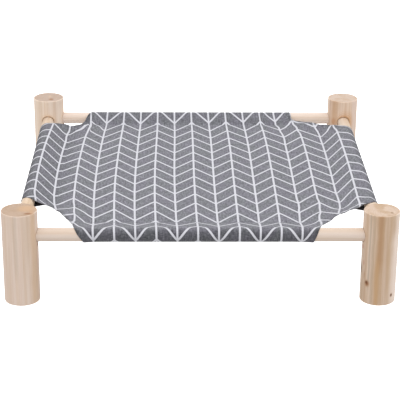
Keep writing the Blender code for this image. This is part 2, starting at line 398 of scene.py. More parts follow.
def leg_mesh(seed, height, bore_height):
    """A round post with two blind holes, along its own +X and +Y."""
    rng = np.random.default_rng(seed)
    grain = waves(rng, 9, 14, 60)
    broad = waves(rng, 3, 2, 5)
    columns = 120
    radius = LEG_RADIUS_MM
    cut = math.radians(-135.0)          # where the skin is unrolled
    verts, faces = [], []

    def skin(angle, z):
        relief = 0.035 * grain(angle) + 0.05 * broad(angle + z * 0.004)
        r = radius - 0.05 + relief
        return (r * math.cos(angle), r * math.sin(angle), z)

    # side skin, unrolled to (angle * radius, height) with two holes
    low, high = EASE_MM, height - EASE_MM
    rows = 30
    points, edges = [], []
    left = cut * radius
    width = 2 * math.pi * radius

    def column_u(c):
        return left + width * c / columns

    border = []
    for c in range(columns + 1):
        border.append((column_u(c), low))
    for r in range(1, rows):
        border.append((column_u(columns), low + (high - low) * r / rows))
    for c in range(columns, -1, -1):
        border.append((column_u(c), high))
    for r in range(rows - 1, 0, -1):
        border.append((column_u(0), low + (high - low) * r / rows))
    points += border
    edges += [(k, (k + 1) % len(border)) for k in range(len(border))]
    holes = []
    for turn in (0.0, math.pi / 2):
        count = 72
        start = len(points)
        rim = BORE_MM + FLARE_MM
        ring_points = []
        for k in range(count):
            a = 2 * math.pi * k / count
            across, up = rim * math.cos(a), rim * math.sin(a)
            points.append(((turn + math.asin(across / radius)) * radius,
                           bore_height + up))
            ring_points.append(start + k)
        edges += [(start + k, start + (k + 1) % count) for k in range(count)]
        holes.append((turn, ring_points))

    def in_hole(u, z, grow):
        for turn, _ in holes:
            across = radius * math.sin(u / radius - turn)
            if abs(u / radius - turn) < 1.2:
                if math.hypot(across, z - bore_height) < (
                        BORE_MM + FLARE_MM + grow):
                    return True
        return False

    for c in range(1, columns):
        for r in range(1, rows):
            u, z = column_u(c), low + (high - low) * r / rows
            if not in_hole(u, z, 0.9):
                points.append((u, z))
    out, _, tris, _, _, _ = delaunay_2d_cdt(
        [Vector(p) for p in points], edges, [], 1, 1e-6)
    for p in out:
        verts.append(skin(p.x / radius, p.y))
    for tri in tris:
        u = sum(out[i].x for i in tri) / len(tri)
        z = sum(out[i].y for i in tri) / len(tri)
        if not in_hole(u, z, -0.02):
            faces.append(tuple(tri))

    def ring(function, count):
        start = len(verts)
        for k in range(count):
            verts.append(function(k))
        return list(range(start, start + count))

    def bridge(a, b):
        n = len(a)
        for k in range(n):
            faces.append((a[k], a[(k + 1) % n], b[(k + 1) % n], b[k]))

    # ends: rounded edge, then rings to the middle with faint saw marks
    saw = waves(rng, 5, 20, 45)
    for z_end, sign in ((height, 1), (0.0, -1)):
        previous = ring(lambda k: skin(column_u(k) / radius,
                                       high if sign > 0 else low), columns)
        for step in range(1, 6):
            a = math.pi / 2 * step / 5
            r0 = radius - 0.05 - EASE_MM * (1 - math.cos(a))
            z0 = z_end - sign * EASE_MM * (1 - math.sin(a))

            def place(k, r0=r0, z0=z0, a=a):
                angle = column_u(k) / radius
                relief = (0.035 * grain(angle)
                          + 0.05 * broad(angle + z0 * 0.004)) * math.cos(a)
                return ((r0 + relief) * math.cos(angle),
                        (r0 + relief) * math.sin(angle), z0)
            current = ring(place, columns)
            bridge(previous, current) if sign > 0 else bridge(current,
                                                              previous)
            previous = current
        for share in (0.93, 0.84, 0.72, 0.6, 0.48, 0.36, 0.24, 0.12):
            r0 = (radius - EASE_MM) * share

            def place(k, r0=r0):
                angle = column_u(k) / radius
                px, py = r0 * math.cos(angle), r0 * math.sin(angle)
                dip = 0.03 * saw((px * 0.8 + py * 0.6) / 24.0)
                return (px, py, z_end - (0.03 + dip if sign > 0 else 0.0))
            current = ring(place, columns)
            bridge(previous, current) if sign > 0 else bridge(current,
                                                              previous)
            previous = current
        verts.append((0.0, 0.0, z_end - (0.03 if sign > 0 else 0.0)))
        centre = len(verts) - 1
        for k in range(columns):
            pair = (previous[k], previous[(k + 1) % columns])
            faces.append((*pair, centre) if sign > 0
                         else (*pair[::-1], centre))

    # blind holes
    for turn, rim_index in holes:
        count = len(rim_index)
        c, s = math.cos(turn), math.sin(turn)

        def hole_ring(rho, depth_at):
            def place(k):
                a = 2 * math.pi * k / count
                across, up = rho * math.cos(a), rho * math.sin(a)
                out_x = depth_at(across)
                return (out_x * c - across * s, out_x * s + across * c,
                        bore_height + up)
            return ring(place, count)

        surface = lambda across: math.sqrt(radius ** 2 - across ** 2)
        rings = [
            ring(lambda k: skin(points[rim_index[k]][0] / radius,
                                points[rim_index[k]][1]), count),
            hole_ring(BORE_MM + 0.18, lambda a: surface(a) - 0.35),
            hole_ring(BORE_MM, lambda a: surface(a) - 0.8),
            hole_ring(BORE_MM, lambda a: 0.5 * (surface(a) + BORE_FLOOR_MM)),
            hole_ring(BORE_MM, lambda a: BORE_FLOOR_MM + 0.3),
            hole_ring(BORE_MM - 0.3, lambda a: BORE_FLOOR_MM),
            hole_ring(BORE_MM * 0.5, lambda a: BORE_FLOOR_MM),
        ]
        for a, b in zip(rings, rings[1:]):
            bridge(a, b)
        verts.append((BORE_FLOOR_MM * c, BORE_FLOOR_MM * s, bore_height))
        centre = len(verts) - 1
        for k in range(count):
            faces.append((rings[-1][k], rings[-1][(k + 1) % count], centre))
    return verts, faces


def finish_mesh(name, verts, faces, material, smooth_angle):
    """Joins doubled vertices, points the faces out and makes the object."""
    bm = bmesh.new()
    made = [bm.verts.new(Vector(v) * MM) for v in verts]
    for face in faces:
        try:
            bm.faces.new([made[i] for i in face])
        except ValueError:
            pass
    bmesh.ops.remove_doubles(bm, verts=bm.verts, dist=0.00002)
    loose = [v for v in bm.verts if not v.link_faces]
    bmesh.ops.delete(bm, geom=loose, context="VERTS")
    bmesh.ops.recalc_face_normals(bm, faces=bm.faces)
    if bm.calc_volume(signed=True) < 0:
        bmesh.ops.reverse_faces(bm, faces=bm.faces)
    mesh = bpy.data.meshes.new(name)
    bm.to_mesh(mesh)
    bm.free()
    mesh.shade_smooth()
    mesh.set_sharp_from_angle(angle=math.radians(smooth_angle))
    obj = bpy.data.objects.new(name, mesh)
    bpy.context.scene.collection.objects.link(obj)
    mesh.materials.append(material)
    return obj


BROWN = srgb(168, 118, 74)
DEEP = srgb(104, 66, 40)
RED = srgb(190, 130, 104)
ORANGE = srgb(188, 142, 98)
TAN = srgb(206, 172, 138)
GREYED = srgb(186, 172, 156)
PINKISH = srgb(228, 204, 190)

LEGS = {
    "leg_front_left": dict(
        turn=0, seed=3, pith=(9.0, 14.0), lean=(0.0, 0.004), end_tone=0.74,
        end_tint=(0.93, 0.84, 0.74), sway=2.0, stripes=0.6, edge_highlight=0.38,
        pale=srgb(224, 204, 189), warm=srgb(215, 193, 174), streak=0.11,
        ring_depth=0.05,
        bands=[(-38, 17, srgb(214, 184, 155), 0.85, -20, 160),
               (-22, 8, srgb(207, 170, 136), 0.55, -20, 112),
               (-100, 9, GREYED, 0.30, 30, 160),
               (-146, 10, PINKISH, 0.45, -20, 160)],
        marks=[
            (10, 4, 135, 17.0, 17.0, 2, srgb(214, 172, 130), 0.55, 0),
            (18, -9, 135, 5.0, 9.0, 2, srgb(206, 160, 116), 0.45, 0),
            (13.5, -14, 135, 7.5, 4.6, 2, srgb(150, 100, 58), 0.9, 0),
            (24.4, -5, 101, 3.0, 3.4, 3.6, BROWN, 0.75, 0),
            (24.2, -6.5, 91, 3.0, 2.2, 2.6, DEEP, 0.5, 0),
            (24.3, -5.5, 86, 3.0, 3.2, 3.4, srgb(140, 92, 58), 0.85, 0),
        ]),
    "leg_front_right": dict(
        turn=90, seed=7, pith=(-11.0, -8.0), lean=(0.008, 0.004), sway=3.0,
        stripes=0.62, end_tone=0.93, pale=srgb(219, 196, 176),
        warm=srgb(200, 171, 141), streak=0.14, ring_depth=0.08,
        bands=[(172, 26, srgb(192, 160, 128), 0.75, -20, 190),
               (172, 12, srgb(180, 140, 104), 0.75, 40, 190),
               (166, 10, srgb(196, 156, 112), 0.60, -20, 85),
               (150, 7, srgb(180, 156, 130), 0.60, -20, 190),
               (138, 5, srgb(176, 160, 142), 0.60, 10, 190),
               (123, 7, srgb(190, 158, 126), 0.60, -20, 190),
               (-122, 34, srgb(244, 226, 213), 0.90, -20, 120),
               (-116, 25, srgb(244, 226, 211), 0.80, 60, 190),
               (-98, 9, GREYED, 0.25, 60, 190)],
        marks=[
            (-17.3, 18.0, 31, 6.0, 6.0, 7.8, srgb(190, 150, 114), 0.65, 0),
            (-17.1, 18.2, 31.5, 4.7, 4.7, 5.9, srgb(150, 104, 68), 0.95, 0),
            (-16.4, 18.8, 32.5, 2.7, 2.7, 3.3, srgb(110, 70, 42), 0.9, 0),
            (-18.7, -16.6, 14, 3.6, 3.6, 4.6, srgb(184, 146, 112), 0.7, 0),
            (-18.7, -16.6, 14, 2.3, 2.3, 2.9, srgb(92, 54, 30), 1.0, 0),
            (-10, -12.5, 135, 4.6, 2.6, 2.0, srgb(160, 130, 102), 0.85, 0),
            (3.7, 25, 100, 2.5, 3.0, 4.5, RED, 0.5, 0),
            (-5, 24.4, 83, 4.6, 3.0, 5.0, RED, 0.65, 0),
            (-1.5, 25, 48, 5.0, 3.0, 12, srgb(116, 78, 52), 0.95, 0),
            (-10, 22.5, 60, 2.4, 3.0, 6, RED, 0.5, 0),
            (-12, 21.5, 42, 1.6, 3.0, 9, srgb(172, 124, 88), 0.6, 0),
        ]),
    "leg_back_right": dict(
        turn=180, seed=11, pith=(-12.0, 9.0), lean=(0.004, 0.006), sway=4.0,
        stripes=0.55, end_tone=0.83, end_tint=(0.97, 0.98, 1.0),
        pale=srgb(231, 208, 189), warm=srgb(221, 191, 163), streak=0.12,
        ring_depth=0.08,
        bands=[(50, 20, srgb(204, 166, 133), 0.80, -20, 170),
               (28, 8, srgb(196, 162, 138), 0.6, -20, 170),
               (134, 16, PINKISH, 0.7, -20, 170)],
        marks=[
            (-3, 25, 99, 21, 14, 24, srgb(206, 152, 98), 0.85, 7.6),
            (16.3, 18.9, 99, 6, 6, 8, srgb(194, 142, 106), 0.6, 0),
        ]),
    "leg_back_left": dict(
        turn=270, seed=19, pith=(8.0, 10.0), lean=(0.004, 0.004), sway=4.0,
        stripes=0.6, end_tone=0.70, end_tint=(0.90, 0.83, 0.81),
        pale=srgb(236, 217, 200), warm=srgb(233, 211, 190), streak=0.10,
        ring_depth=0.06,
        bands=[(30, 5, srgb(214, 184, 160), 0.5, -20, 170),
               (-32, 12, srgb(208, 182, 156), 0.45, -20, 170)],
        marks=[
            (12, 5.5, 135, 7.0, 5.5, 2.0, srgb(158, 112, 78), 0.85, 0),
            (-3, 2, 135, 9.0, 4.0, 2.0, srgb(214, 186, 160), 0.5, 0),
        ]),
}

for leg_name, spec in LEGS.items():
    low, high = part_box(leg_name)
    height = (high.z - low.z) / MM
    centre = (low + high) / 2
    rail_low, rail_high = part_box("rail_front")
    bore_height = (rail_low.z + rail_high.z) / 2 / MM
    material = pine(
        f"{leg_name}_pine", spec["seed"], spec["pale"], spec["warm"],
        pith=spec["pith"], lean=spec["lean"], marks=spec["marks"],
        bands=spec["bands"], end_tone=spec["end_tone"],
        streak=spec["streak"], ring_depth=spec["ring_depth"],
        end_tint=spec.get("end_tint", (1.0, 1.0, 1.0)), sway=spec["sway"],
        stripes=spec["stripes"], edge_highlight=spec.get("edge_highlight", 0.55),
        hole_rim_and_shadow=0.8, hole_height=bore_height)
    post = finish_mesh(f"{leg_name}_post",
                       *leg_mesh(spec["seed"], height, bore_height),
                       material, 38.0)
    post.location = (centre.x, centre.y, low.z)
    post.rotation_euler = (0, 0, math.radians(spec["turn"]))
    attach(post, "root")
    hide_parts(leg_name)


def rail_mesh(seed, half_length, radius):
    """A dowel along X, with sanded ends and a faint turned surface."""
    rng = np.random.default_rng(seed)
    grain = waves(rng, 8, 10, 40)
    broad = waves(rng, 3, 2, 4)
    columns = 96
    stations = [(-half_length, radius - 1.0), (-half_length + 0.12,
                radius - 0.62), (-half_length + 0.4, radius - 0.3),
                (-half_length + 0.8, radius - 0.08),
                (-half_length + 1.3, radius)]
    steps = 70
    for k in range(1, steps):
        x = -half_length + 1.3 + (2 * half_length - 2.6) * k / steps
        stations.append((x, radius))
    stations += [(-x, r) for x, r in reversed(stations[:5])]
    verts, faces = [], []
    for x, r0 in stations:
        for c in range(columns):
            a = 2 * math.pi * c / columns
            r = r0 + 0.018 * grain(a + 0.0006 * x) - 0.02
            r += 0.02 * broad(a + x * 0.011)
            verts.append((x, r * math.cos(a), r * math.sin(a)))
    for s in range(len(stations) - 1):
        for c in range(columns):
            n = (c + 1) % columns
            faces.append((s * columns + c, s * columns + n,
                          (s + 1) * columns + n, (s + 1) * columns + c))
    for s, x in ((0, -half_length), (len(stations) - 1, half_length)):
        verts.append((x, 0.0, 0.0))
        centre = len(verts) - 1
        for c in range(columns):
            faces.append((s * columns + c, s * columns + (c + 1) % columns,
                          centre))
    return verts, faces


RAILS = {                       # turn, seed, pale wood, warm wood
    "front": (0, 23, srgb(225, 208, 195), srgb(222, 203, 187)),
    "right": (90, 29, srgb(224, 206, 188), srgb(220, 197, 172)),
    # painted light: the back rail is given paler wood than the others, for the
    # brighter light on it
    "back": (180, 31, srgb(235, 218, 206), srgb(230, 210, 194)),
    "left": (270, 37, srgb(224, 206, 188), srgb(220, 198, 176)),
}
for side, (turn, seed, pale_rail, warm_rail) in RAILS.items():
    low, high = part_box(f"rail_{side}")
    span = high - low
    material = pine(
        f"rail_{side}_pine", seed, pale_rail, warm_rail,
        pith=(14.0, -22.0), lean=(0.006, 0.004), along="x", ring=4.5,
        ring_depth=0.045, streak=0.05, end_tone=0.95, roughness=0.5,
        blush=0.35, stain=(srgb(222, 190, 152), 0.9, 110.0, 190.0)
        if side == "left" else None)
    dowel = finish_mesh(f"rail_{side}_dowel",
                        *rail_mesh(seed, max(span.x, span.y) / 2 / MM,
                                   span.z / 2 / MM),
                        material, 40.0)
    dowel.location = (low + high) / 2
    dowel.rotation_euler = (0, 0, math.radians(turn))
    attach(dowel, "root")
    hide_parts(f"rail_{side}")


# ---------------------------------------------------------------------------
# canvas: its shape
# ---------------------------------------------------------------------------
HALF_MM = 250.0
RAIL_Z_MM = bore_height
ROLL_MM = 10.05                 # outside of the canvas round a rail
CLOTH_MM = 0.5                  # one layer of canvas
PANEL_Z_MM = 95.7               # print face of the taut panel
REACH_MM = {"front": 47.7, "back": 28.2, "left": 40.5, "right": 41.1}
STACK_MM = 1.65                 # panel, turned-in edge and sleeve at a seam
FOLD_MM = 0.525                 # radius of the hem's fold, print face
HEM_MM = 2.6                    # the fold's reach past the crease
TUCK_MM = 8.0                   # the turned-in edge, back inside the sleeve
STITCH_MM = 1.3                 # the stitches' distance from the crease
SEAM_AT = {                     # the crease of each seam, flat coordinates
    "front": -HALF_MM + REACH_MM["front"],
    "back": HALF_MM - REACH_MM["back"],
    "left": -HALF_MM + REACH_MM["left"],
    "right": HALF_MM - REACH_MM["right"],
}

# Where the flaps end: (distance past the crease, place along the rail).
ENDS = {
    ("left", 0): [(0, -163.5), (4, -157.5), (10, -152.6), (18, -149.2),
                  (26, -145.2), (32, -141.6), (37, -138.6), (43, -137.4),
                  (48, -135.5), (52, -132), (56, -128.8), (66, -127),
                  (76, -126.3), (135, -126)],
    ("left", 1): [(0, 199.2), (4, 200.6), (10, 202.8), (20.5, 202),
                  (31.5, 198.5), (41.5, 193.5), (47.2, 189.5), (53, 186),
                  (64, 184), (76, 183), (135, 182)],
    ("right", 0): [(0, -188), (8.5, -177), (16, -171.5), (21, -167.5),
                   (26, -160.5), (32, -156.3), (41, -156.6), (46, -153),
                   (50.5, -148.2), (55, -142), (64, -141.3), (78, -141),
                   (140, -141)],
    ("right", 1): [(0, 201), (12, 198.3), (26.5, 193), (37, 186),
                   (46.5, 178.3), (51, 175.5), (58, 174.5), (78, 174),
                   (140, 174)],
    ("front", 0): [(0, -190), (3.2, -187.6), (14, -183.6), (27, -179.6),
                   (40, -177), (50.7, -175), (59.2, -171.5),
                   (65.2, -167.5), (69.7, -164), (78, -161), (86, -159.5),
                   (150, -158)],
    ("front", 1): [(0, 195), (2.5, 191.3), (15.7, 182.5), (23.7, 176.5),
                   (31, 170.8), (43, 167), (50, 165.3), (61.7, 161),
                   (70.2, 157.5), (79, 155.3), (86, 154.3), (150, 153)],
    ("back", 0): [(0, -188), (6, -187), (14, -185.2), (24, -182.5),
                  (30.5, -178.7), (36, -175.5), (42, -172), (48, -170),
                  (66, -167), (115, -166)],
    ("back", 1): [(0, 179.5), (3, 176.5), (8.5, 168.3), (11.5, 164),
                  (16, 162.2), (22, 161.6), (31.5, 161), (36, 159.5),
                  (45, 158), (66, 156.5), (115, 156)],
}
# The sewn part of each seam, along its rail. Past its ends the canvas is
# free of the return flap and rises in a taut web towards the rails.
SEWN = {"front": (-158.0, 153.0), "back": (-166.0, 156.0),
        "left": (-128.0, 182.0), "right": (-141.0, 174.0)}
# Each corner's web: (side across, side deep, rise, reach across, reach deep)
WEBS = {
    "front_left": ("left", "front", 9.5, 51.0, 74.0),
    "front_right": ("right", "front", 12.5, 56.0, 61.0),
    "back_right": ("right", "back", 11.0, 53.0, 48.0),
    "back_left": ("left", "back", 9.0, 45.0, 42.0),
}
# The hollowed corners, between one flap's end and the next.
CORNERS = {
    "front_left": [(-205.5, -170.8), (-197.5, -186.0), (-193.5, -194.3)],
    "front_right": [(201.2, -198.0)],
    "back_right": [(201.0, 205.5), (193.5, 210.2), (184.0, 216.0)],
    "back_left": [(-188.8, 217.0), (-192.3, 208.9), (-200.0, 203.7),
                  (-204.5, 201.2)],
}


def smoothstep(t):
    t = np.clip(t, 0.0, 1.0)
    return t * t * (3 - 2 * t)


def seam_facts(side):
    """The path of a sleeve: angles, lengths and the places of its parts."""
    reach = REACH_MM[side]
    top = PANEL_Z_MM - RAIL_Z_MM
    low = top - STACK_MM
    reach_top, reach_low = math.hypot(reach, top), math.hypot(reach, low)
    a0 = math.atan2(top, reach) + math.acos(ROLL_MM / reach_top)
    a1 = (math.atan2(low, reach) - math.acos(ROLL_MM / reach_low)
          + 2 * math.pi)
    up_length = math.sqrt(reach_top ** 2 - ROLL_MM ** 2)
    low_length = math.sqrt(reach_low ** 2 - ROLL_MM ** 2)
    marks = [up_length]
    for length in (ROLL_MM * (a1 - a0), low_length, HEM_MM,
                   math.pi * FOLD_MM, HEM_MM, TUCK_MM):
        marks.append(marks[-1] + length)
    return dict(reach=reach, top=top, low=low, a0=a0, a1=a1,
                up=up_length, down=low_length, marks=marks)


FACTS = {side: seam_facts(side) for side in REACH_MM}


def sleeve_path(side, s):
    """Print face of a sleeve at distance s past the crease.

    Gives the distance inward from the rail's axis and the height above it.
    """
    f = FACTS[side]
    m = f["marks"]
    s = np.asarray(s, float)
    reach, top, low = f["reach"], f["top"], f["low"]
    t0 = ROLL_MM * np.array([math.cos(f["a0"]), math.sin(f["a0"])])
    t1 = ROLL_MM * np.array([math.cos(f["a1"]), math.sin(f["a1"])])
    inward = reach - s
    height = np.full_like(s, top)

    def piece(lo, hi, d, h):
        nonlocal inward, height
        here = (s > lo) & (s <= hi)
        inward = np.where(here, d, inward)
        height = np.where(here, h, height)

    k = s / f["up"]
    piece(0, m[0], reach + (t0[0] - reach) * k, top + (t0[1] - top) * k)
    a = f["a0"] + (s - m[0]) / ROLL_MM
    piece(m[0], m[1], ROLL_MM * np.cos(a), ROLL_MM * np.sin(a))
    k = (s - m[1]) / f["down"]
    piece(m[1], m[2], t1[0] + (reach - t1[0]) * k, t1[1] + (low - t1[1]) * k)
    piece(m[2], m[3], reach + (s - m[2]), low)
    a = (s - m[3]) / FOLD_MM
    piece(m[3], m[4], reach + HEM_MM + FOLD_MM * np.sin(a),
          low + FOLD_MM * (1 - np.cos(a)))
    piece(m[4], m[5], reach + HEM_MM - (s - m[4]), low + 2 * FOLD_MM)
    back = (t1 - np.array([reach, low])) / f["down"]
    piece(m[5], 1e9, reach + back[0] * (s - m[5]),
          low + 2 * FOLD_MM + back[1] * (s - m[5]))
    return inward, height


def wobble(along, seed, long_wave, short_wave):
    """A smooth irregular wave along a seam, about -1 to 1."""
    rng = np.random.default_rng(seed)
    total = np.zeros_like(along)
    for k in range(7):
        wave = long_wave * (short_wave / long_wave) ** (k / 6)
        wave *= rng.uniform(0.9, 1.1)
        total += np.sin(2 * math.pi * along / wave
                        + rng.uniform(0, 6.28))
    return total / 3.2


def web_rise(a, b):
    """How far the canvas rises above the seams' level near a corner."""
    rise = np.zeros_like(a)
    for across, deep, most, reach_a, reach_b in WEBS.values():
        off_a = (a - SEAM_AT[across]) * (1 if across == "left" else -1)
        off_b = (b - SEAM_AT[deep]) * (1 if deep == "front" else -1)
        near = ((np.clip(off_a, 0, None) / reach_a) ** 2
                + (np.clip(off_b, 0, None) / reach_b) ** 2)
        rise += most * np.clip(1 - near, 0, None) ** 2
    return rise


EDGE_LINES = []                 # the cut edge near each corner, flat
RUMPLE_MM = 0.6


def to_edge(a, b):
    """Distance to the cut edge at the corners, and the place along it."""
    reach = np.full_like(a, 60.0)
    along = np.zeros_like(a)
    for number, line in enumerate(EDGE_LINES):
        low, high = line.min(0) - 30, line.max(0) + 30
        close = ((a > low[0]) & (a < high[0]) & (b > low[1])
                 & (b < high[1]))
        if not close.any():
            continue
        points = np.stack([a[close], b[close]], -1)
        best = np.full(len(points), 1e9)
        place = np.zeros(len(points))
        run = 0.0
        for p, q in zip(line, line[1:]):
            e = q - p
            length = np.linalg.norm(e)
            t = np.clip(((points - p) @ e) / length ** 2, 0, 1)
            d = np.linalg.norm(points - (p + t[:, None] * e), axis=1)
            nearer = d < best
            best = np.where(nearer, d, best)
            place = np.where(nearer, run + t * length, place)
            run += length
        reach[close] = np.minimum(best, 60.0)
        along[close] = place + 400.0 * number
    return reach, along


def rumple(a, b):
    """The small waves that die out within a few millimetres of a cut edge."""
    reach, along = to_edge(a, b)
    return RUMPLE_MM * (0.35 + wobble(along, 90, 48, 17)) * np.exp(
        -reach / 8.0)


def cloth_point(a, b):
    """Where the print face lies for flat coordinates a (across), b (deep)."""
    a, b = np.asarray(a, float), np.asarray(b, float)
    x, y = a.copy(), b.copy()
    rise = web_rise(a, b) + rumple(a, b)
    z = PANEL_Z_MM + rise
    # the panel's own slow unevenness
    inner = (smoothstep((a - SEAM_AT["left"]) / 40)
             * smoothstep((SEAM_AT["right"] - a) / 40)
             * smoothstep((b - SEAM_AT["front"]) / 40)
             * smoothstep((SEAM_AT["back"] - b) / 40))
    z += inner * 0.35 * (np.sin(a / 47.0 + 0.6) * np.sin(b / 53.0 + 1.1)
                         + 0.6 * np.sin((a + 0.6 * b) / 31.0))
    for number, side in enumerate(("front", "back", "left", "right")):
        across = side in ("front", "back")
        along = a if across else b
        deep = b if across else a
        sign = 1.0 if side in ("front", "left") else -1.0
        s = sign * (SEAM_AT[side] - deep)      # past the crease if positive
        inward, height = sleeve_path(side, s)
        f = FACTS[side]
        m = f["marks"]
        first, last = SEWN[side]
        held = (smoothstep((along - first + 12) / 12)
                * smoothstep((last + 10 - along) / 10))
        past = s > 0
        # stitches draw the layers down and pucker them
        pull = (0.30 + 0.10 * wobble(along, 40 + number, 23, 9)) * held
        near = np.exp(-((inward - f["reach"] - STITCH_MM) / 2.2) ** 2)
        near = np.where((s > m[0]) & (s < m[1]), 0.0, near)
        dip = -pull * near
        # soft tension ripples between the rail and the seam
        slope = np.where(past & (s < m[0]), np.sin(
            np.pi * np.clip(s / m[0], 0, 1)) ** 2, 0.0)
        ripple = 0.16 * slope * wobble(along, 60 + number, 60, 21)
        beyond = np.where((s < 0) & (s > -26),
                          np.sin(np.pi * np.clip(-s / 26, 0, 1)) ** 2, 0.0)
        ripple += 0.12 * beyond * held * wobble(along, 80 + number, 48, 17)
        # loose ends of the sleeve stand off the rail a little
        ends = np.minimum(along - _end_at(side, 0, s),
                          _end_at(side, 1, s) - along)
        loose = np.exp(-np.clip(ends, 0, None) / 9.0)
        turn = np.clip((s - m[0]) / (m[1] - m[0]), 0, 1)
        round_rail = np.where((s > m[0] * 0.7) & (s < m[2]), 1.0, 0.0)
        off = loose * round_rail * (0.15 + 0.95 * smoothstep(
            (turn - 0.35) / 0.4)) * np.where(
                s > m[1], 1 - (s - m[1]) / f["down"], 1.0)
        angle = np.arctan2(height, inward)
        in_off = np.where(past, inward + off * np.cos(angle), inward)
        up_off = height + off * np.sin(angle) * past + dip + ripple
        up_off += np.where(past & (s < m[0]), rise * (1 - s / m[0]), 0.0)
        if side == "front":
            y = np.where(past, -HALF_MM + in_off, y)
        elif side == "back":
            y = np.where(past, HALF_MM - in_off, y)
        elif side == "left":
            x = np.where(past, -HALF_MM + in_off, x)
        else:
            x = np.where(past, HALF_MM - in_off, x)
        z = np.where(past, RAIL_Z_MM + up_off, z + dip + np.where(
            past, 0.0, ripple))
    return np.stack([x, y, z], -1)


def smooth_through(points, step):
    """Points about step apart on a smooth curve through the given ones."""
    pts = np.array(points, float)
    if len(pts) == 2:
        n = max(1, int(round(np.linalg.norm(pts[1] - pts[0]) / step)))
        return [pts[0] + (pts[1] - pts[0]) * k / n for k in range(n + 1)]
    ghost = np.vstack([2 * pts[0] - pts[1], pts, 2 * pts[-1] - pts[-2]])
    out = [pts[0]]
    for k in range(1, len(ghost) - 2):
        p0, p1, p2, p3 = ghost[k - 1:k + 3]
        n = max(1, int(round(np.linalg.norm(p2 - p1) / step)))
        d01, d12, d23 = (max(1e-6, np.linalg.norm(q - p)) ** 0.5
                         for p, q in ((p0, p1), (p1, p2), (p2, p3)))
        m1 = (p2 - p1 + d12 * ((p1 - p0) / d01 - (p2 - p0) / (d01 + d12)))
        m2 = (p2 - p1 + d12 * ((p3 - p2) / d23 - (p3 - p1) / (d12 + d23)))
        for j in range(1, n + 1):
            t = j / n
            out.append((2 * t ** 3 - 3 * t ** 2 + 1) * p1
                       + (t ** 3 - 2 * t ** 2 + t) * m1
                       + (-2 * t ** 3 + 3 * t ** 2) * p2
                       + (t ** 3 - t ** 2) * m2)
    return out


END_CURVES = {}
for key, marks in ENDS.items():
    curve = np.array(smooth_through(marks, 1.0))
    END_CURVES[key] = (curve[:, 0], curve[:, 1])


def _end_at(side, which, s):
    """Where a flap ends along its rail, at distance s past the crease."""
    at, along = END_CURVES[(side, which)]
    return np.interp(s, at, along)


def flap_end(side, which, total, step=2.0):
    """A flap's end edge in flat coordinates, from the crease to its hem."""
    out = []
    s = 0.0
    while s < total - 1e-6:
        out.append(s)
        s += step
    out.append(total)
    place = []
    for s in out:
        along = float(_end_at(side, which, s))
        if side == "front":
            place.append((along, SEAM_AT[side] - s))
        elif side == "back":
            place.append((along, SEAM_AT[side] + s))
        elif side == "left":
            place.append((SEAM_AT[side] - s, along))
        else:
            place.append((SEAM_AT[side] + s, along))
    return place


def flap_lines(side):
    """Mesh lines across a sleeve, at distances past the crease."""
    m = FACTS[side]["marks"]
    lines = [0.0, 1.0, 2.4]
    s = 5.2
    while s < m[0] - 2:
        lines.append(s)
        s += 3.4
    lines.append(m[0])
    n = int(round((m[1] - m[0]) / 1.05))
    lines += [m[0] + (m[1] - m[0]) * k / n for k in range(1, n + 1)]
    s = m[1] + 3.4
    while s < m[2] - 6:
        lines.append(s)
        s += 3.4
    lines += [m[2] - 5.0, m[2] - 2.5, m[2] - 1.0, m[2], m[2] + STITCH_MM,
              m[3] - 0.4, m[3]]
    lines += [m[3] + (m[4] - m[3]) * k / 7 for k in range(1, 8)]
    lines += [m[4] + 0.5, m[4] + HEM_MM - STITCH_MM, m[5], m[5] + 1.2,
              m[5] + 3.0, m[5] + 5.5]
    return lines


def cloth_outline():
    """The cut edge, anticlockwise from the front left; hem edges marked."""
    pieces = []

    def end(side, which):
        return flap_end(side, which, FACTS[side]["marks"][6])

    front0, front1 = end("front", 0), end("front", 1)
    right0, right1 = end("right", 0), end("right", 1)
    back0, back1 = end("back", 0), end("back", 1)
    left0, left1 = end("left", 0), end("left", 1)

    def hem(a, b):
        return [tuple(p) for p in smooth_through([a, b], 4.0)]

    def corner(a, name, b):
        return [tuple(p) for p in smooth_through([a, *CORNERS[name], b], 2.5)]

    for kind, part in (
            ("cut", hem(front0[-1], front1[-1])),
            ("end", front1[::-1]),
            ("corner_front_right",
             corner(front1[0], "front_right", right0[0])),
            ("end", right0),
            ("cut", hem(right0[-1], right1[-1])),
            ("end", right1[::-1]),
            ("corner_back_right", corner(right1[0], "back_right", back1[0])),
            ("end", back1),
            ("cut", hem(back1[-1], back0[-1])),
            ("end", back0[::-1]),
            ("corner_back_left", corner(back0[0], "back_left", left1[0])),
            ("end", left1),
            ("cut", hem(left1[-1], left0[-1])),
            ("end", left0[::-1]),
            ("corner_front_left",
             corner(left0[0], "front_left", front0[0])),
            ("end", front0)):
        pieces.append((kind, part))
    points, kinds = [], []
    for kind, part in pieces:
        for p in part[:-1]:
            points.append(p)
            kinds.append(kind)
    return np.array(points), kinds


def edge_lines():
    """The cut edge at each corner, between one rail and the next."""
    for name, (one, two) in {
            "front_right": (("front", 1), ("right", 0)),
            "back_right": (("right", 1), ("back", 1)),
            "back_left": (("back", 0), ("left", 1)),
            "front_left": (("left", 0), ("front", 0))}.items():
        runs = []
        for side, which in (one, two):
            runs.append(flap_end(side, which,
                                 FACTS[side]["marks"][0] + 14.0))
        line = runs[0][::-1] + CORNERS[name] + runs[1]
        EDGE_LINES.append(np.array(smooth_through(line, 3.0)))


edge_lines()


def inside(points, outline):
    """Which of the points lie inside the outline."""
    x, y = points[:, 0], points[:, 1]
    odd = np.zeros(len(points), bool)
    for k in range(len(outline)):
        x0, y0 = outline[k]
        x1, y1 = outline[(k + 1) % len(outline)]
        if y0 == y1:
            continue
        crosses = (y0 > y) != (y1 > y)
        odd ^= crosses & (x < (x1 - x0) * (y - y0) / (y1 - y0) + x0)
    return odd


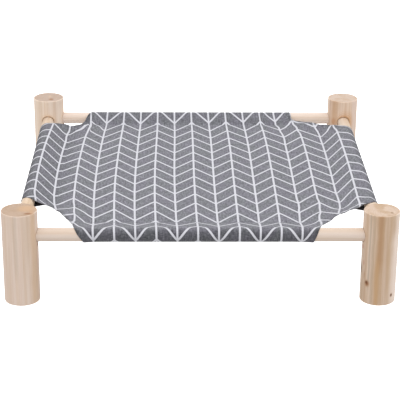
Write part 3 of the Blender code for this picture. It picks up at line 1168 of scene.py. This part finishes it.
def distance_to(points, outline):
    """Distance of each point to the nearest outline vertex or edge."""
    best = np.full(len(points), 1e9)
    for k in range(len(outline)):
        p, q = outline[k], outline[(k + 1) % len(outline)]
        e = q - p
        t = np.clip(((points - p) @ e) / (e @ e), 0, 1)
        d = points - (p + t[:, None] * e)
        best = np.minimum(best, (d * d).sum(1))
    return np.sqrt(best)


# ---------------------------------------------------------------------------
# canvas: where the print lies on it
# ---------------------------------------------------------------------------
# Long lines run front to back, LINE_MM apart; between them the short lines
# zigzag, ZIG_MM apart. The cloth was laid a little bowed and skewed, which
# these terms give: powers of (across, deep) -> millimetres (across, deep).
LINE_MM = 30.1
ZIG_MM = 35.46
ZIG_DROP = 1.079                # a zigzag's drop, in zigzag spacings
LAY = {
    (0, 0): (-6.4, 15.1), (0, 1): (-0.2, 0.0), (1, 0): (0.0, -4.3),
    (0, 2): (2.4, -1.9), (0, 3): (-3.9, 2.1), (0, 4): (-2.7, 0.1),
    (0, 5): (0.9, 0.0), (1, 1): (-1.5, 13.2), (1, 2): (-12.9, 0.3),
    (1, 3): (-1.8, -1.1), (1, 4): (-1.9, 0.9), (2, 0): (1.3, 9.1),
    (2, 1): (2.8, -9.3), (2, 2): (0.9, -0.4), (2, 3): (1.4, -0.2),
    (3, 0): (2.0, -2.5), (3, 1): (1.0, -2.1), (3, 2): (3.6, -0.2),
    (4, 0): (-0.1, 5.5), (4, 1): (-0.6, -0.6), (5, 0): (-1.8, -0.4),
}


# Near the corners the sewing pulled and bunched the cloth, and the print with
# it: (across, deep) of a spot, and how far its print was pulled, in mm.
PULLS = [
    (-215, -100, 0, 0), (-213.5, -120, -0.6, 0), (-211.5, -132.5, -2.1, 0),
    (-206.5, -164, -5.7, -9), (-238, -107, 0, 2), (-228, -121.5, -1, 2),
    (-220, -131.5, -1.5, 3), (-237.5, -131, -1.5, -5),
    (-226, -141.5, -2.5, -10), (-214, -157.5, -4.5, -9),
    (-240, -142, -4, -5), (-180, -165, -1.6, -2), (-180, -195, -3.2, 0),
    (-192, -180, -4, -4),
    (-208, -147, -3.5, 3), (-196, -146, -2.6, 2),
    (205, -87, 0, 0), (205.5, -105, -1.2, 0), (206, -123, -2.1, 0),
    (205.5, -141, -1.8, 0), (201.5, -167, 1.5, 0), (197.5, -193, 4.8, 0),
    (235, -123, 0, 0), (221, -145.5, 0, 5), (242, -157, -1, -10),
    (237, -150, -2, -10), (229.5, -148, -1, -12), (217.5, -159, 0, -16),
    (202.5, -188, 4.5, -3.5), (231.5, -166.5, 1, -10),
    (175, -102, -0.6, 0), (176.5, -130, -2.4, 0), (174.5, -158, -1.2, 0),
    (169.5, -195, 3, 0), (169.5, -230, 1.8, 0), (145.5, -138, -1.5, 0),
    (143.5, -169, 0, 0), (142, -202, 0.9, 0), (156, -185, 1.0, 0),
    (134, 226, 6, 0), (132, 245, 7, 0), (139.5, 198, 2.1, 0),
    (144.5, 152, -1, 0), (161.5, 233, 8, 0), (162, 250, 8, 0),
    (164.5, 222, 6, 0), (169, 200, 2.7, 0), (173.5, 148, 0, 0),
    (196, 205, 6, 0), (199, 195, 3.6, 0), (204.5, 179, -0.6, 0),
    (229.5, 197.5, 3.3, 0), (234.5, 161.5, 0, 0),
    (-178, 227, -2, 0), (-176, 211.5, -6.5, -5), (-182, 194, -1.6, 0),
    (-187, 209, -1, -12), (-214, 163, 1.5, 0), (-200, 190, 0, -3),
    (-211, 197, 0, 0),
]
PULL_REACH_MM = 8.0


def pulled(a, b):
    """How far the print was pulled (across, deep) at flat coordinates."""
    weight = np.full_like(a, 0.12)
    da, db = np.zeros_like(a), np.zeros_like(a)
    for pa, pb, across, deep in PULLS:
        w = np.exp(-((a - pa) ** 2 + (b - pb) ** 2)
                   / (2 * PULL_REACH_MM ** 2))
        weight += w
        da += w * across
        db += w * deep
    return da / weight, db / weight


def lay(u, v):
    a, b = 8 * LINE_MM * u, 8 * ZIG_MM * v
    au, av = np.full_like(u, 8 * LINE_MM), np.zeros_like(u)
    bu, bv = np.zeros_like(u), np.full_like(u, 8 * ZIG_MM)
    for (p, q), (ca, cb) in LAY.items():
        term = u ** p * v ** q
        a, b = a + ca * term, b + cb * term
        if p:
            d = p * u ** (p - 1) * v ** q
            au, bu = au + ca * d, bu + cb * d
        if q:
            d = q * u ** p * v ** (q - 1)
            av, bv = av + ca * d, bv + cb * d
    return a, b, au, av, bu, bv


# A fold at the back-left corner takes up one zigzag. Along the zigzag that
# runs into it: (place between its two long lines, depth in mm, part of a
# zigzag folded away there, how far in front of it the print is undisturbed).
PLEAT = [(0.0, 174.5, 0.10, 35), (0.34, 190.5, 0.33, 42),
         (0.68, 199.5, 0.30, 41), (0.85, 209.5, 0.40, 44),
         (0.93, 216.5, 0.60, 52), (1.0, 225.5, 0.94, 61)]
PLEAT_LINE = -7.0


def pleated(line, b):
    """How much of a zigzag is folded away at a long-line number and depth."""
    at = np.clip(line - PLEAT_LINE, 0.0, 1.0)
    place, deep, part, clear = (np.array(v) for v in zip(*PLEAT))
    over = b - np.interp(at, place, deep)
    part, clear = np.interp(at, place, part), np.interp(at, place, clear)
    shift = np.where(over < 0, part * smoothstep(1 + over / clear),
                     part + (1 - part) * smoothstep(over / 38))
    shift *= smoothstep((line - PLEAT_LINE + 0.3) / 0.3)
    return np.where((line < PLEAT_LINE + 1.0) & (b > 120), shift, 0.0)


def print_at(a, b):
    """Print coordinates (line number, zigzag number) of flat coordinates."""
    pull_a, pull_b = pulled(a, b)
    depth = b
    a, b = a + pull_a, b + pull_b
    # the zigzags run slack over the left half of the front rail
    b = b + 15.0 * smoothstep((-30 - a) / 130) * smoothstep((-205 - b) / 50)
    ca = np.clip(a, -266, 264)
    cb = np.clip(b, -275, 252)
    u, v = (ca + 6.4) / (8 * LINE_MM), (cb - 15.1) / (8 * ZIG_MM)
    for _ in range(12):
        pa, pb, au, av, bu, bv = lay(u, v)
        ra, rb = ca - pa, cb - pb
        det = au * bv - av * bu
        u = u + (bv * ra - av * rb) / det
        v = v + (au * rb - bu * ra) / det
    line = 8 * u + (a - ca) / LINE_MM
    return line, 8 * v + (b - cb) / ZIG_MM - pleated(line, depth)


# ---------------------------------------------------------------------------
# canvas: its materials
# ---------------------------------------------------------------------------
CANVAS = srgb(121, 121, 128)
INK = srgb(213, 213, 220)


def canvas_material(name, printed):
    """Heathered plain weave, with the pale line print on its face."""
    t = Tree(name)
    cloth = t.add("ShaderNodeUVMap", uv_map="cloth").outputs[0]
    mm = t.vector("SCALE", cloth, 1000.0)
    x, y, _ = t.split(mm)

    # warp and weft, about 1.7 threads to the millimetre
    warp = t.math("SINE", t.math("MULTIPLY", x, 2 * math.pi * 0.85))
    weft = t.math("SINE", t.math("MULTIPLY", y, 2 * math.pi * 0.85))
    over = t.math("MULTIPLY", warp, weft)
    weave = t.math("ADD", t.math("MULTIPLY", t.math("ABSOLUTE", warp), 0.5),
                   t.math("MULTIPLY", t.math("ABSOLUTE", weft), 0.5))

    # heather: single threads lighter or darker, in short runs
    weft_runs = t.noise(t.join(t.math("MULTIPLY", x, 0.16),
                               t.math("MULTIPLY", y, 1.25), 0.0), 1.0, 3.0,
                        0.62)
    warp_runs = t.noise(t.join(t.math("MULTIPLY", x, 1.25),
                               t.math("MULTIPLY", y, 0.16), 7.0), 1.0, 3.0,
                        0.62)
    cloud = t.noise(t.join(t.math("MULTIPLY", x, 0.035),
                           t.math("MULTIPLY", y, 0.035), 3.0), 1.0, 3.0, 0.5)
    slubs = t.noise(t.join(t.math("MULTIPLY", x, 0.24),
                           t.math("MULTIPLY", y, 0.42), 5.0), 1.0, 2.5, 0.62)
    long_slubs = t.noise(t.join(t.math("MULTIPLY", x, 0.42),
                                t.math("MULTIPLY", y, 0.11), 9.0), 1.0, 2.5,
                         0.6)
    tone = t.math("MULTIPLY_ADD", t.math("SUBTRACT", weft_runs, 0.5), 1.6,
                  1.0)
    tone = t.math("MULTIPLY", tone, t.math(
        "MULTIPLY_ADD", t.math("SUBTRACT", warp_runs, 0.5), 0.95, 1.0))
    tone = t.math("MULTIPLY", tone, t.math(
        "MULTIPLY_ADD", t.math("SUBTRACT", slubs, 0.5), 1.4, 1.0))
    tone = t.math("MULTIPLY", tone, t.math(
        "MULTIPLY_ADD", t.math("SUBTRACT", long_slubs, 0.5), 1.55, 1.0))
    tone = t.math("MULTIPLY", tone, t.math(
        "MULTIPLY_ADD", t.math("SUBTRACT", cloud, 0.5), 0.22, 1.0))
    # painted shade: darker where it turns round the rails, over the back sleeve
    # and over the left sleeve
    reach = t.math("MAXIMUM", t.math("ABSOLUTE", x), t.math("ABSOLUTE", y))
    # painted shade on the outer and lower side of each roll round a rail
    tone = t.math("MULTIPLY", tone, t.step(reach, 249.5, 262.5, 1.0, 0.57))
    # painted shade on the back sleeve
    tone = t.math("MULTIPLY", tone, t.step(y, 220.0, 225.0, 1.0, 0.88))
    # painted shade on the left sleeve
    tone = t.math("MULTIPLY", tone, t.step(x, -211.0, -190.0, 0.86, 1.0))
    tone = t.math("MULTIPLY", tone, t.math(
        "MULTIPLY_ADD", t.math("SUBTRACT", weave, 0.64), 0.22, 1.0))
    # painted shadow where the back sleeve's end turns down at the back-left
    # corner
    shade = t.math("MULTIPLY", t.math(
        "MULTIPLY", t.step(x, -204.0, -193.0, 0.0, 1.0),
        t.step(x, -182.0, -177.0, 1.0, 0.0)), t.math(
        "MULTIPLY", t.step(y, 199.0, 212.0, 0.0, 1.0),
        t.step(y, 240.0, 250.0, 1.0, 0.0)))
    tone = t.math("MULTIPLY", tone, t.math("MULTIPLY_ADD", shade, -0.24,
                                           1.0))
    hue = t.noise(t.join(t.math("MULTIPLY", x, 0.05),
                         t.math("MULTIPLY", y, 0.03), 13.0), 1.0, 2.0)
    base = t.mix(t.step(hue, 0.38, 0.62),
                 tuple(c * k for c, k in zip(CANVAS, (1.01, 0.99, 1.02))),
                 tuple(c * k for c, k in zip(CANVAS, (0.98, 1.0, 0.97))))
    # painted light: the unprinted back is made lighter to lift the shade inside
    # the sleeve openings
    if not printed:
        base = t.tint(base, 1.3)
    colour = t.tint(base, tone)

    if printed:
        lines = t.add("ShaderNodeUVMap", uv_map="print").outputs[0]
        i, c, _ = t.split(lines)
        edge = t.noise(t.join(t.math("MULTIPLY", x, 0.8),
                              t.math("MULTIPLY", y, 0.8), 11.0), 1.0, 2.0)
        rough_edge = t.math("MULTIPLY", t.math("SUBTRACT", edge, 0.5), 0.7)
        # long lines
        off = t.math("MULTIPLY", t.math("PINGPONG", i, 0.5), LINE_MM)
        fringe = t.step(off, 1.9, 4.6, 1.0, 0.0)
        long_line = t.step(t.math("ADD", off, rough_edge), 1.20, 1.72, 1.0,
                           0.0)
        # zigzags, with slightly rounded turns
        tri = t.math("PINGPONG", i, 1.0)
        soft = 0.05
        near = t.math("SQRT", t.math("MULTIPLY_ADD", tri, tri, soft ** 2))
        far = t.math("SUBTRACT", 1.0, tri)
        far = t.math("SQRT", t.math("MULTIPLY_ADD", far, far, soft ** 2))
        shape = t.math("MULTIPLY_ADD", t.math("SUBTRACT", near, far), 0.5,
                       0.5)
        k = t.math("MULTIPLY_ADD", shape, ZIG_DROP, c)
        slope = math.atan2(ZIG_DROP * ZIG_MM, LINE_MM)
        off = t.math("MULTIPLY", t.math("PINGPONG", k, 0.5),
                     ZIG_MM * math.cos(slope))
        fringe = t.math("MAXIMUM", fringe, t.step(off, 1.9, 4.6, 1.0, 0.0))
        short_line = t.step(t.math("ADD", off, rough_edge), 1.24, 1.72, 1.0,
                            0.0)
        ink = t.math("MAXIMUM", long_line,
                     t.math("MULTIPLY", short_line, 0.99))
        wear = t.math("MULTIPLY_ADD", t.math("SUBTRACT", weft_runs, 0.5),
                      0.35, 0.97)
        ink = t.math("MULTIPLY", ink, t.math("MINIMUM", wear, 1.0))
        ink_colour = t.tint(INK, t.math(
            "MULTIPLY_ADD", t.math("SUBTRACT", weave, 0.64), 0.10, 1.0))
        # the ink's binder darkens the cloth a little beside each line
        colour = t.tint(colour, t.math("MULTIPLY_ADD", fringe, -0.09, 1.03))
        colour = t.mix(ink, colour, ink_colour)

        # painted shade along the cut edges, in patches, where the edge curls
        # down
        rim, rim_at, _ = t.split(t.add("ShaderNodeUVMap",
                                       uv_map="edge").outputs[0])
        patch = t.noise(t.join(t.math("MULTIPLY", rim_at, 70.0), 17.0, 0.0),
                        1.0, 1.0)
        painted_edge_shade = t.math("MULTIPLY", t.step(rim, 0.0, 0.0065, 1.0, 0.0),
                       t.step(patch, 0.42, 0.62, 0.10, 0.55))
        colour = t.tint(colour, t.math("SUBTRACT", 1.0, painted_edge_shade))

    t.put(t.shader.inputs["Base Color"], colour)
    t.shader.inputs["Roughness"].default_value = 0.92
    t.shader.inputs["Specular IOR Level"].default_value = 0.18
    t.shader.inputs["Sheen Weight"].default_value = 0.08
    t.shader.inputs["Sheen Roughness"].default_value = 0.5
    relief = t.math("ADD", weave, t.math("MULTIPLY", over, 0.35))
    relief = t.math("ADD", relief, t.math("MULTIPLY", weft_runs, 0.7))
    t.put(t.shader.inputs["Normal"], t.bump(relief, 0.5, 0.00012))
    return t.material


def thread_material():
    t = Tree("sewing_thread_grey")
    coord = t.add("ShaderNodeTexCoord")
    mm = t.vector("SCALE", coord.outputs["Object"], 1000.0)
    x, y, z = t.split(mm)
    twist = t.math("SINE", t.math("MULTIPLY", t.math(
        "ADD", t.math("ADD", x, y), t.math("MULTIPLY", z, 3.0)), 9.0))
    fuzz = t.noise(mm, 3.0, 2.0)
    tone = t.math("MULTIPLY_ADD", twist, 0.12, t.math(
        "MULTIPLY_ADD", fuzz, 0.25, 0.88))
    t.put(t.shader.inputs["Base Color"], t.tint(srgb(150, 150, 158), tone))
    t.shader.inputs["Roughness"].default_value = 0.75
    t.shader.inputs["Specular IOR Level"].default_value = 0.25
    t.put(t.shader.inputs["Normal"], t.bump(twist, 0.4, 0.00006))
    return t.material


# ---------------------------------------------------------------------------
# canvas: its mesh
# ---------------------------------------------------------------------------
def make_canvas():
    outline, kinds = cloth_outline()
    count = len(outline)

    def spread(lo, hi, step):
        n = int(round((hi - lo) / step))
        return [lo + (hi - lo) * k / n for k in range(n + 1)]

    inner_a = [SEAM_AT["left"] + d for d in (1.3, 2.8, 5.2)] + spread(
        SEAM_AT["left"] + 8.6, SEAM_AT["right"] - 8.6, 4.0) + [
            SEAM_AT["right"] - d for d in (5.2, 2.8, 1.3)]
    inner_b = [SEAM_AT["front"] + d for d in (1.3, 2.8, 5.2)] + spread(
        SEAM_AT["front"] + 8.6, SEAM_AT["back"] - 8.6, 4.0) + [
            SEAM_AT["back"] - d for d in (5.2, 2.8, 1.3)]
    lines_a = ([SEAM_AT["left"] - s for s in reversed(flap_lines("left"))]
               + inner_a + [SEAM_AT["right"] + s for s in
                            flap_lines("right")])
    lines_b = ([SEAM_AT["front"] - s for s in reversed(flap_lines("front"))]
               + inner_b + [SEAM_AT["back"] + s for s in
                            flap_lines("back")])
    grid = np.array([(a, b) for a in lines_a for b in lines_b])
    grid = grid[inside(grid, outline)]
    # points too near the edge would make slivers
    near = distance_to(grid, outline)
    local = np.full(len(grid), 1.3)
    grid = grid[near > local * 0.5]
    points = np.vstack([outline, grid])
    edges = [(k, (k + 1) % count) for k in range(count)]
    out, _, tris, _, _, _ = delaunay_2d_cdt(
        [Vector(p) for p in points], edges, [], 1, 1e-7)
    flat = np.array([(p.x, p.y) for p in out])
    tris = [tuple(t) for t in tris]
    if len(flat) != len(points):
        raise RuntimeError("the cloth outline crosses itself")

    area = 0.0
    for t in tris:
        p, q, r = flat[t[0]], flat[t[1]], flat[t[2]]
        area += 0.5 * abs((q[0] - p[0]) * (r[1] - p[1])
                          - (q[1] - p[1]) * (r[0] - p[0]))

    step = 0.05
    face = cloth_point(flat[:, 0], flat[:, 1])
    da = (cloth_point(flat[:, 0] + step, flat[:, 1])
          - cloth_point(flat[:, 0] - step, flat[:, 1]))
    db = (cloth_point(flat[:, 0], flat[:, 1] + step)
          - cloth_point(flat[:, 0], flat[:, 1] - step))
    normal = np.cross(da, db)
    normal /= np.linalg.norm(normal, axis=1)[:, None]

    verts = [tuple(p) for p in face]
    normals = [tuple(n) for n in normal]
    flats = [tuple(p) for p in flat]
    faces = list(tris)

    # the corners' narrow hem: over the edge and back underneath
    fold, width = 0.55, 5.0
    stitch_lines = {}
    for name in CORNERS:
        kind = f"corner_{name}"
        run = [k for k in range(count) if kinds[k] == kind]
        if len(run) < 6:
            continue
        run = run + [(run[-1] + 1) % count]
        pts = face[run]
        tangent = np.gradient(pts, axis=0)
        tangent /= np.linalg.norm(tangent, axis=1)[:, None]
        up = normal[run]
        outward = np.cross(tangent, up)
        outward /= np.linalg.norm(outward, axis=1)[:, None]
        length = np.concatenate([[0], np.cumsum(np.linalg.norm(
            np.diff(pts, axis=0), axis=1))])
        taper = (smoothstep(length / 9.0)
                 * smoothstep((length[-1] - length) / 9.0))
        rows = [run]
        profile = [("turn", math.pi * k / 7) for k in range(1, 8)]
        profile += [("under", w) for w in (0.35, 0.7, 1.0)]
        for what, value in profile:
            row = []
            for k, v in enumerate(run):
                f = fold * (0.25 + 0.75 * taper[k])
                if what == "turn":
                    out_by = f * math.sin(value)
                    down_by = f * (1 - math.cos(value))
                    n = (outward[k] * math.sin(value)
                         + up[k] * math.cos(value))
                    run_on = f * value
                else:
                    out_by = -value * width * taper[k] - 0.05 * value
                    down_by = 2 * f
                    n = -up[k]
                    run_on = f * math.pi + value * width * taper[k]
                p = pts[k] + outward[k] * out_by - up[k] * down_by
                verts.append(tuple(p))
                normals.append(tuple(n))
                flats.append((flat[v][0] + outward[k][0] * run_on,
                              flat[v][1] + outward[k][1] * run_on))
                row.append(len(verts) - 1)
            rows.append(row)
        for a, b in zip(rows, rows[1:]):
            for k in range(len(run) - 1):
                faces.append((a[k + 1], a[k], b[k], b[k + 1]))
        stitch_lines[name] = (pts, outward, up, taper, length)

    # outward sense of the triangles must agree
    fixed = []
    vert_array = np.array(verts)
    normal_array = np.array(normals)
    for f in faces:
        p = vert_array[list(f)]
        n = np.cross(p[1] - p[0], p[2] - p[0])
        mean = normal_array[list(f)].sum(0)
        fixed.append(f if n @ mean > 0 else tuple(reversed(f)))
    faces = fixed

    total = len(verts)
    back = vert_array - normal_array * CLOTH_MM
    all_verts = np.vstack([vert_array, back]) * MM
    used = {}
    for f in faces:
        for k in range(len(f)):
            edge = (f[k], f[(k + 1) % len(f)])
            used[edge] = used.get(edge, 0) + 1
    rim = [(a, b) for (a, b) in used if (b, a) not in used]

    bm = bmesh.new()
    uv_cloth = bm.loops.layers.uv.new("cloth")
    uv_print = bm.loops.layers.uv.new("print")
    uv_edge = bm.loops.layers.uv.new("edge")
    flat_all = np.array(flats)
    line, zig = print_at(flat_all[:, 0], flat_all[:, 1])
    rim_far, rim_at = to_edge(flat_all[:, 0], flat_all[:, 1])
    made = [bm.verts.new(v) for v in all_verts]

    def add(ids, index):
        try:
            f = bm.faces.new([made[i] for i in ids])
        except ValueError:
            return
        f.material_index = index
        f.smooth = True
        for loop, i in zip(f.loops, ids):
            j = i % total
            loop[uv_cloth].uv = flat_all[j] * MM
            loop[uv_print].uv = (line[j], zig[j])
            loop[uv_edge].uv = (rim_far[j] * MM, rim_at[j] * MM)

    for f in faces:
        add(f, 0)
        add(tuple(total + i for i in reversed(f)), 1)
    for a, b in rim:
        add((b, a, total + a, total + b), 1)
    pairs = [f for f in bm.faces if len(f.verts) == 3]
    bmesh.ops.join_triangles(
        bm, faces=pairs, cmp_seam=False, cmp_sharp=False, cmp_uvs=True,
        cmp_vcols=False, cmp_materials=True,
        angle_face_threshold=math.radians(25),
        angle_shape_threshold=math.radians(35))
    mesh = bpy.data.meshes.new("canvas_sheet")
    bm.to_mesh(mesh)
    bm.free()
    mesh.set_sharp_from_angle(angle=math.radians(50))
    obj = bpy.data.objects.new("canvas_sheet", mesh)
    bpy.context.scene.collection.objects.link(obj)
    mesh.materials.append(canvas_material("printed_canvas_face", True))
    mesh.materials.append(canvas_material("canvas_back", False))
    size = flat_all[:count].max(0) - flat_all[:count].min(0)
    return obj, area, size, stitch_lines


canvas, flat_area, flat_size, hem_lines = make_canvas()
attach(canvas, "root")
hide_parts("canvas_panel", "sleeve_front", "sleeve_back",
            "sleeve_left", "sleeve_right")


# ---------------------------------------------------------------------------
# stitches
# ---------------------------------------------------------------------------
THREAD_MM = 0.42
PITCH_MM = 3.3


def stitch(verts, faces, start, end, up):
    """One stitch: a short thread that rises from the cloth and dives back."""
    start, end, up = (np.array(v, float) for v in (start, end, up))
    along = end - start
    side = np.cross(up, along)
    side /= np.linalg.norm(side)
    rows, ring = 7, 6
    base = len(verts)
    for r in range(rows):
        t = r / (rows - 1)
        lift = 0.30 * math.sin(math.pi * t) ** 0.6 - 0.14
        slim = 0.72 + 0.28 * math.sin(math.pi * t)
        centre = start + along * t + up * lift
        for k in range(ring):
            a = 2 * math.pi * k / ring
            verts.append(centre + (side * math.cos(a) * 1.15
                                   + up * math.sin(a)) * THREAD_MM / 2 * slim)
    for r in range(rows - 1):
        for k in range(ring):
            n = (k + 1) % ring
            faces.append((base + r * ring + n, base + (r + 1) * ring + n,
                          base + (r + 1) * ring + k, base + r * ring + k))
    faces.append(tuple(base + k for k in reversed(range(ring))))
    faces.append(tuple(base + (rows - 1) * ring + k for k in range(ring)))


def surface_run(flat_points):
    """Places and normals of the print face along a run of flat points."""
    a, b = flat_points[:, 0], flat_points[:, 1]
    here = cloth_point(a, b)
    da = cloth_point(a + 0.05, b) - cloth_point(a - 0.05, b)
    db = cloth_point(a, b + 0.05) - cloth_point(a, b - 0.05)
    n = np.cross(da, db)
    return here, n / np.linalg.norm(n, axis=1)[:, None]


def plain_object(name, verts, faces, material):
    mesh = bpy.data.meshes.new(name)
    mesh.from_pydata([tuple(np.array(v) * MM) for v in verts], [], faces)
    mesh.shade_smooth()
    obj = bpy.data.objects.new(name, mesh)
    bpy.context.scene.collection.objects.link(obj)
    mesh.materials.append(material)
    return obj


THREAD = thread_material()
for side in REACH_MM:
    first, last = SEWN[side]
    first, last = first + 3.0, last - 3.0
    m = FACTS[side]["marks"]
    verts, faces = [], []
    number = int((last - first) / PITCH_MM)
    at = first + PITCH_MM * np.arange(number)
    for s in (-STITCH_MM, m[2] + STITCH_MM):
        if s > 0:                       # the returned flap is narrower
            near, far = _end_at(side, 0, s) + 3.0, _end_at(side, 1, s) - 3.0
            keep = at[(at > near) & (at + PITCH_MM < far)]
        else:
            keep = at
        runs = []
        for along in (keep, keep + PITCH_MM * 0.86):
            deep = np.full_like(along, s)
            if side == "front":
                run = np.stack([along, SEAM_AT[side] - deep], 1)
            elif side == "back":
                run = np.stack([along, SEAM_AT[side] + deep], 1)
            elif side == "left":
                run = np.stack([SEAM_AT[side] - deep, along], 1)
            else:
                run = np.stack([SEAM_AT[side] + deep, along], 1)
            runs.append(surface_run(run))
        for k in range(len(keep)):
            stitch(verts, faces, runs[0][0][k], runs[1][0][k], runs[0][1][k])
    row = plain_object(f"stitches_{side}", verts, faces, THREAD)
    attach(row, "root")
    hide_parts(f"seam_thread_{side}")

verts, faces = [], []
for pts, outward, up, taper, length in hem_lines.values():
    for below in (False, True):
        at = [d for d in np.arange(6.0, length[-1] - 8.6, 3.0)
              if min(np.interp((d, d + 2.6), length, taper)) > 0.8]
        def spot(d):
            p = np.array([np.interp(d, length, pts[:, k]) for k in range(3)])
            o = np.array([np.interp(d, length, outward[:, k])
                          for k in range(3)])
            u = np.array([np.interp(d, length, up[:, k]) for k in range(3)])
            full = float(np.interp(d, length, taper))
            p = p - o * 3.6 * full
            deep = 1.1 * (0.25 + 0.75 * full)
            return (p - u * deep, -u) if below else (p, u)
        for d in at:
            (p, u), (q, _) = spot(d), spot(d + 2.6)
            stitch(verts, faces, p, q, u)
hems = plain_object("stitches_corner_hems", verts, faces, THREAD)
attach(hems, "root")

print("canvas flat size mm", flat_size.round(1), "area m2",
      round(flat_area * 1e-6, 4))


# ---------------------------------------------------------------------------
# floor and light
# ---------------------------------------------------------------------------
def make_floor():
    """A white sheet of light: as bright as the photograph's background.

    It is left out of the bounced light, which comes from the sky alone.
    """
    mesh = bpy.data.meshes.new("floor")
    size = 6.0
    mesh.from_pydata([(-size, -size, 0), (size, -size, 0), (size, size, 0),
                      (-size, size, 0)], [], [(0, 1, 2, 3)])
    floor = bpy.data.objects.new("floor", mesh)
    bpy.context.scene.collection.objects.link(floor)
    floor.location.z = -0.0002
    floor.visible_diffuse = False
    floor.visible_glossy = False
    t = Tree("floor_white")
    t.shader.inputs["Base Color"].default_value = (0.9, 0.9, 0.9, 1.0)
    t.shader.inputs["Roughness"].default_value = 0.9
    t.shader.inputs["Specular IOR Level"].default_value = 0.0
    t.shader.inputs["Emission Color"].default_value = (1, 1, 1, 1)
    t.shader.inputs["Emission Strength"].default_value = 1.0
    mesh.materials.append(t.material)


def make_light():
    """Soft light from all round, about half as strong from below."""
    scene = bpy.context.scene
    scene.view_settings.view_transform = "Standard"
    scene.view_settings.look = "None"
    world = bpy.data.worlds.new("studio")
    scene.world = world
    world.use_nodes = True
    nodes, links = world.node_tree.nodes, world.node_tree.links
    ground = nodes["Background"]
    coord = nodes.new("ShaderNodeTexCoord")
    split = nodes.new("ShaderNodeSeparateXYZ")
    level = nodes.new("ShaderNodeMapRange")
    level.interpolation_type = "SMOOTHSTEP"
    links.new(coord.outputs["Generated"], split.inputs[0])
    links.new(split.outputs["Z"], level.inputs["Value"])
    level.inputs["From Min"].default_value = -0.25
    level.inputs["From Max"].default_value = 0.25
    level.inputs["To Min"].default_value = 0.72
    level.inputs["To Max"].default_value = 1.02
    links.new(level.outputs[0], ground.inputs["Color"])
    ground.inputs["Strength"].default_value = 1.0
    for name, place, size, power, target in (
            ("key", (-0.7, -1.0, 2.4), 1.8, 9.0, (0, 0, 0.1)),
            ("top", (0.5, 0.4, 2.6), 2.2, 8.0, (0, 0, 0.1))):
        data = bpy.data.lights.new(name, "AREA")
        data.shape = "SQUARE"
        data.size = size
        data.energy = power
        lamp = bpy.data.objects.new(name, data)
        lamp.location = place
        lamp.rotation_euler = (Vector(target) - Vector(place)).to_track_quat(
            "-Z", "Y").to_euler()
        scene.collection.objects.link(lamp)


make_floor()
make_light()

bpy.context.view_layer.update()
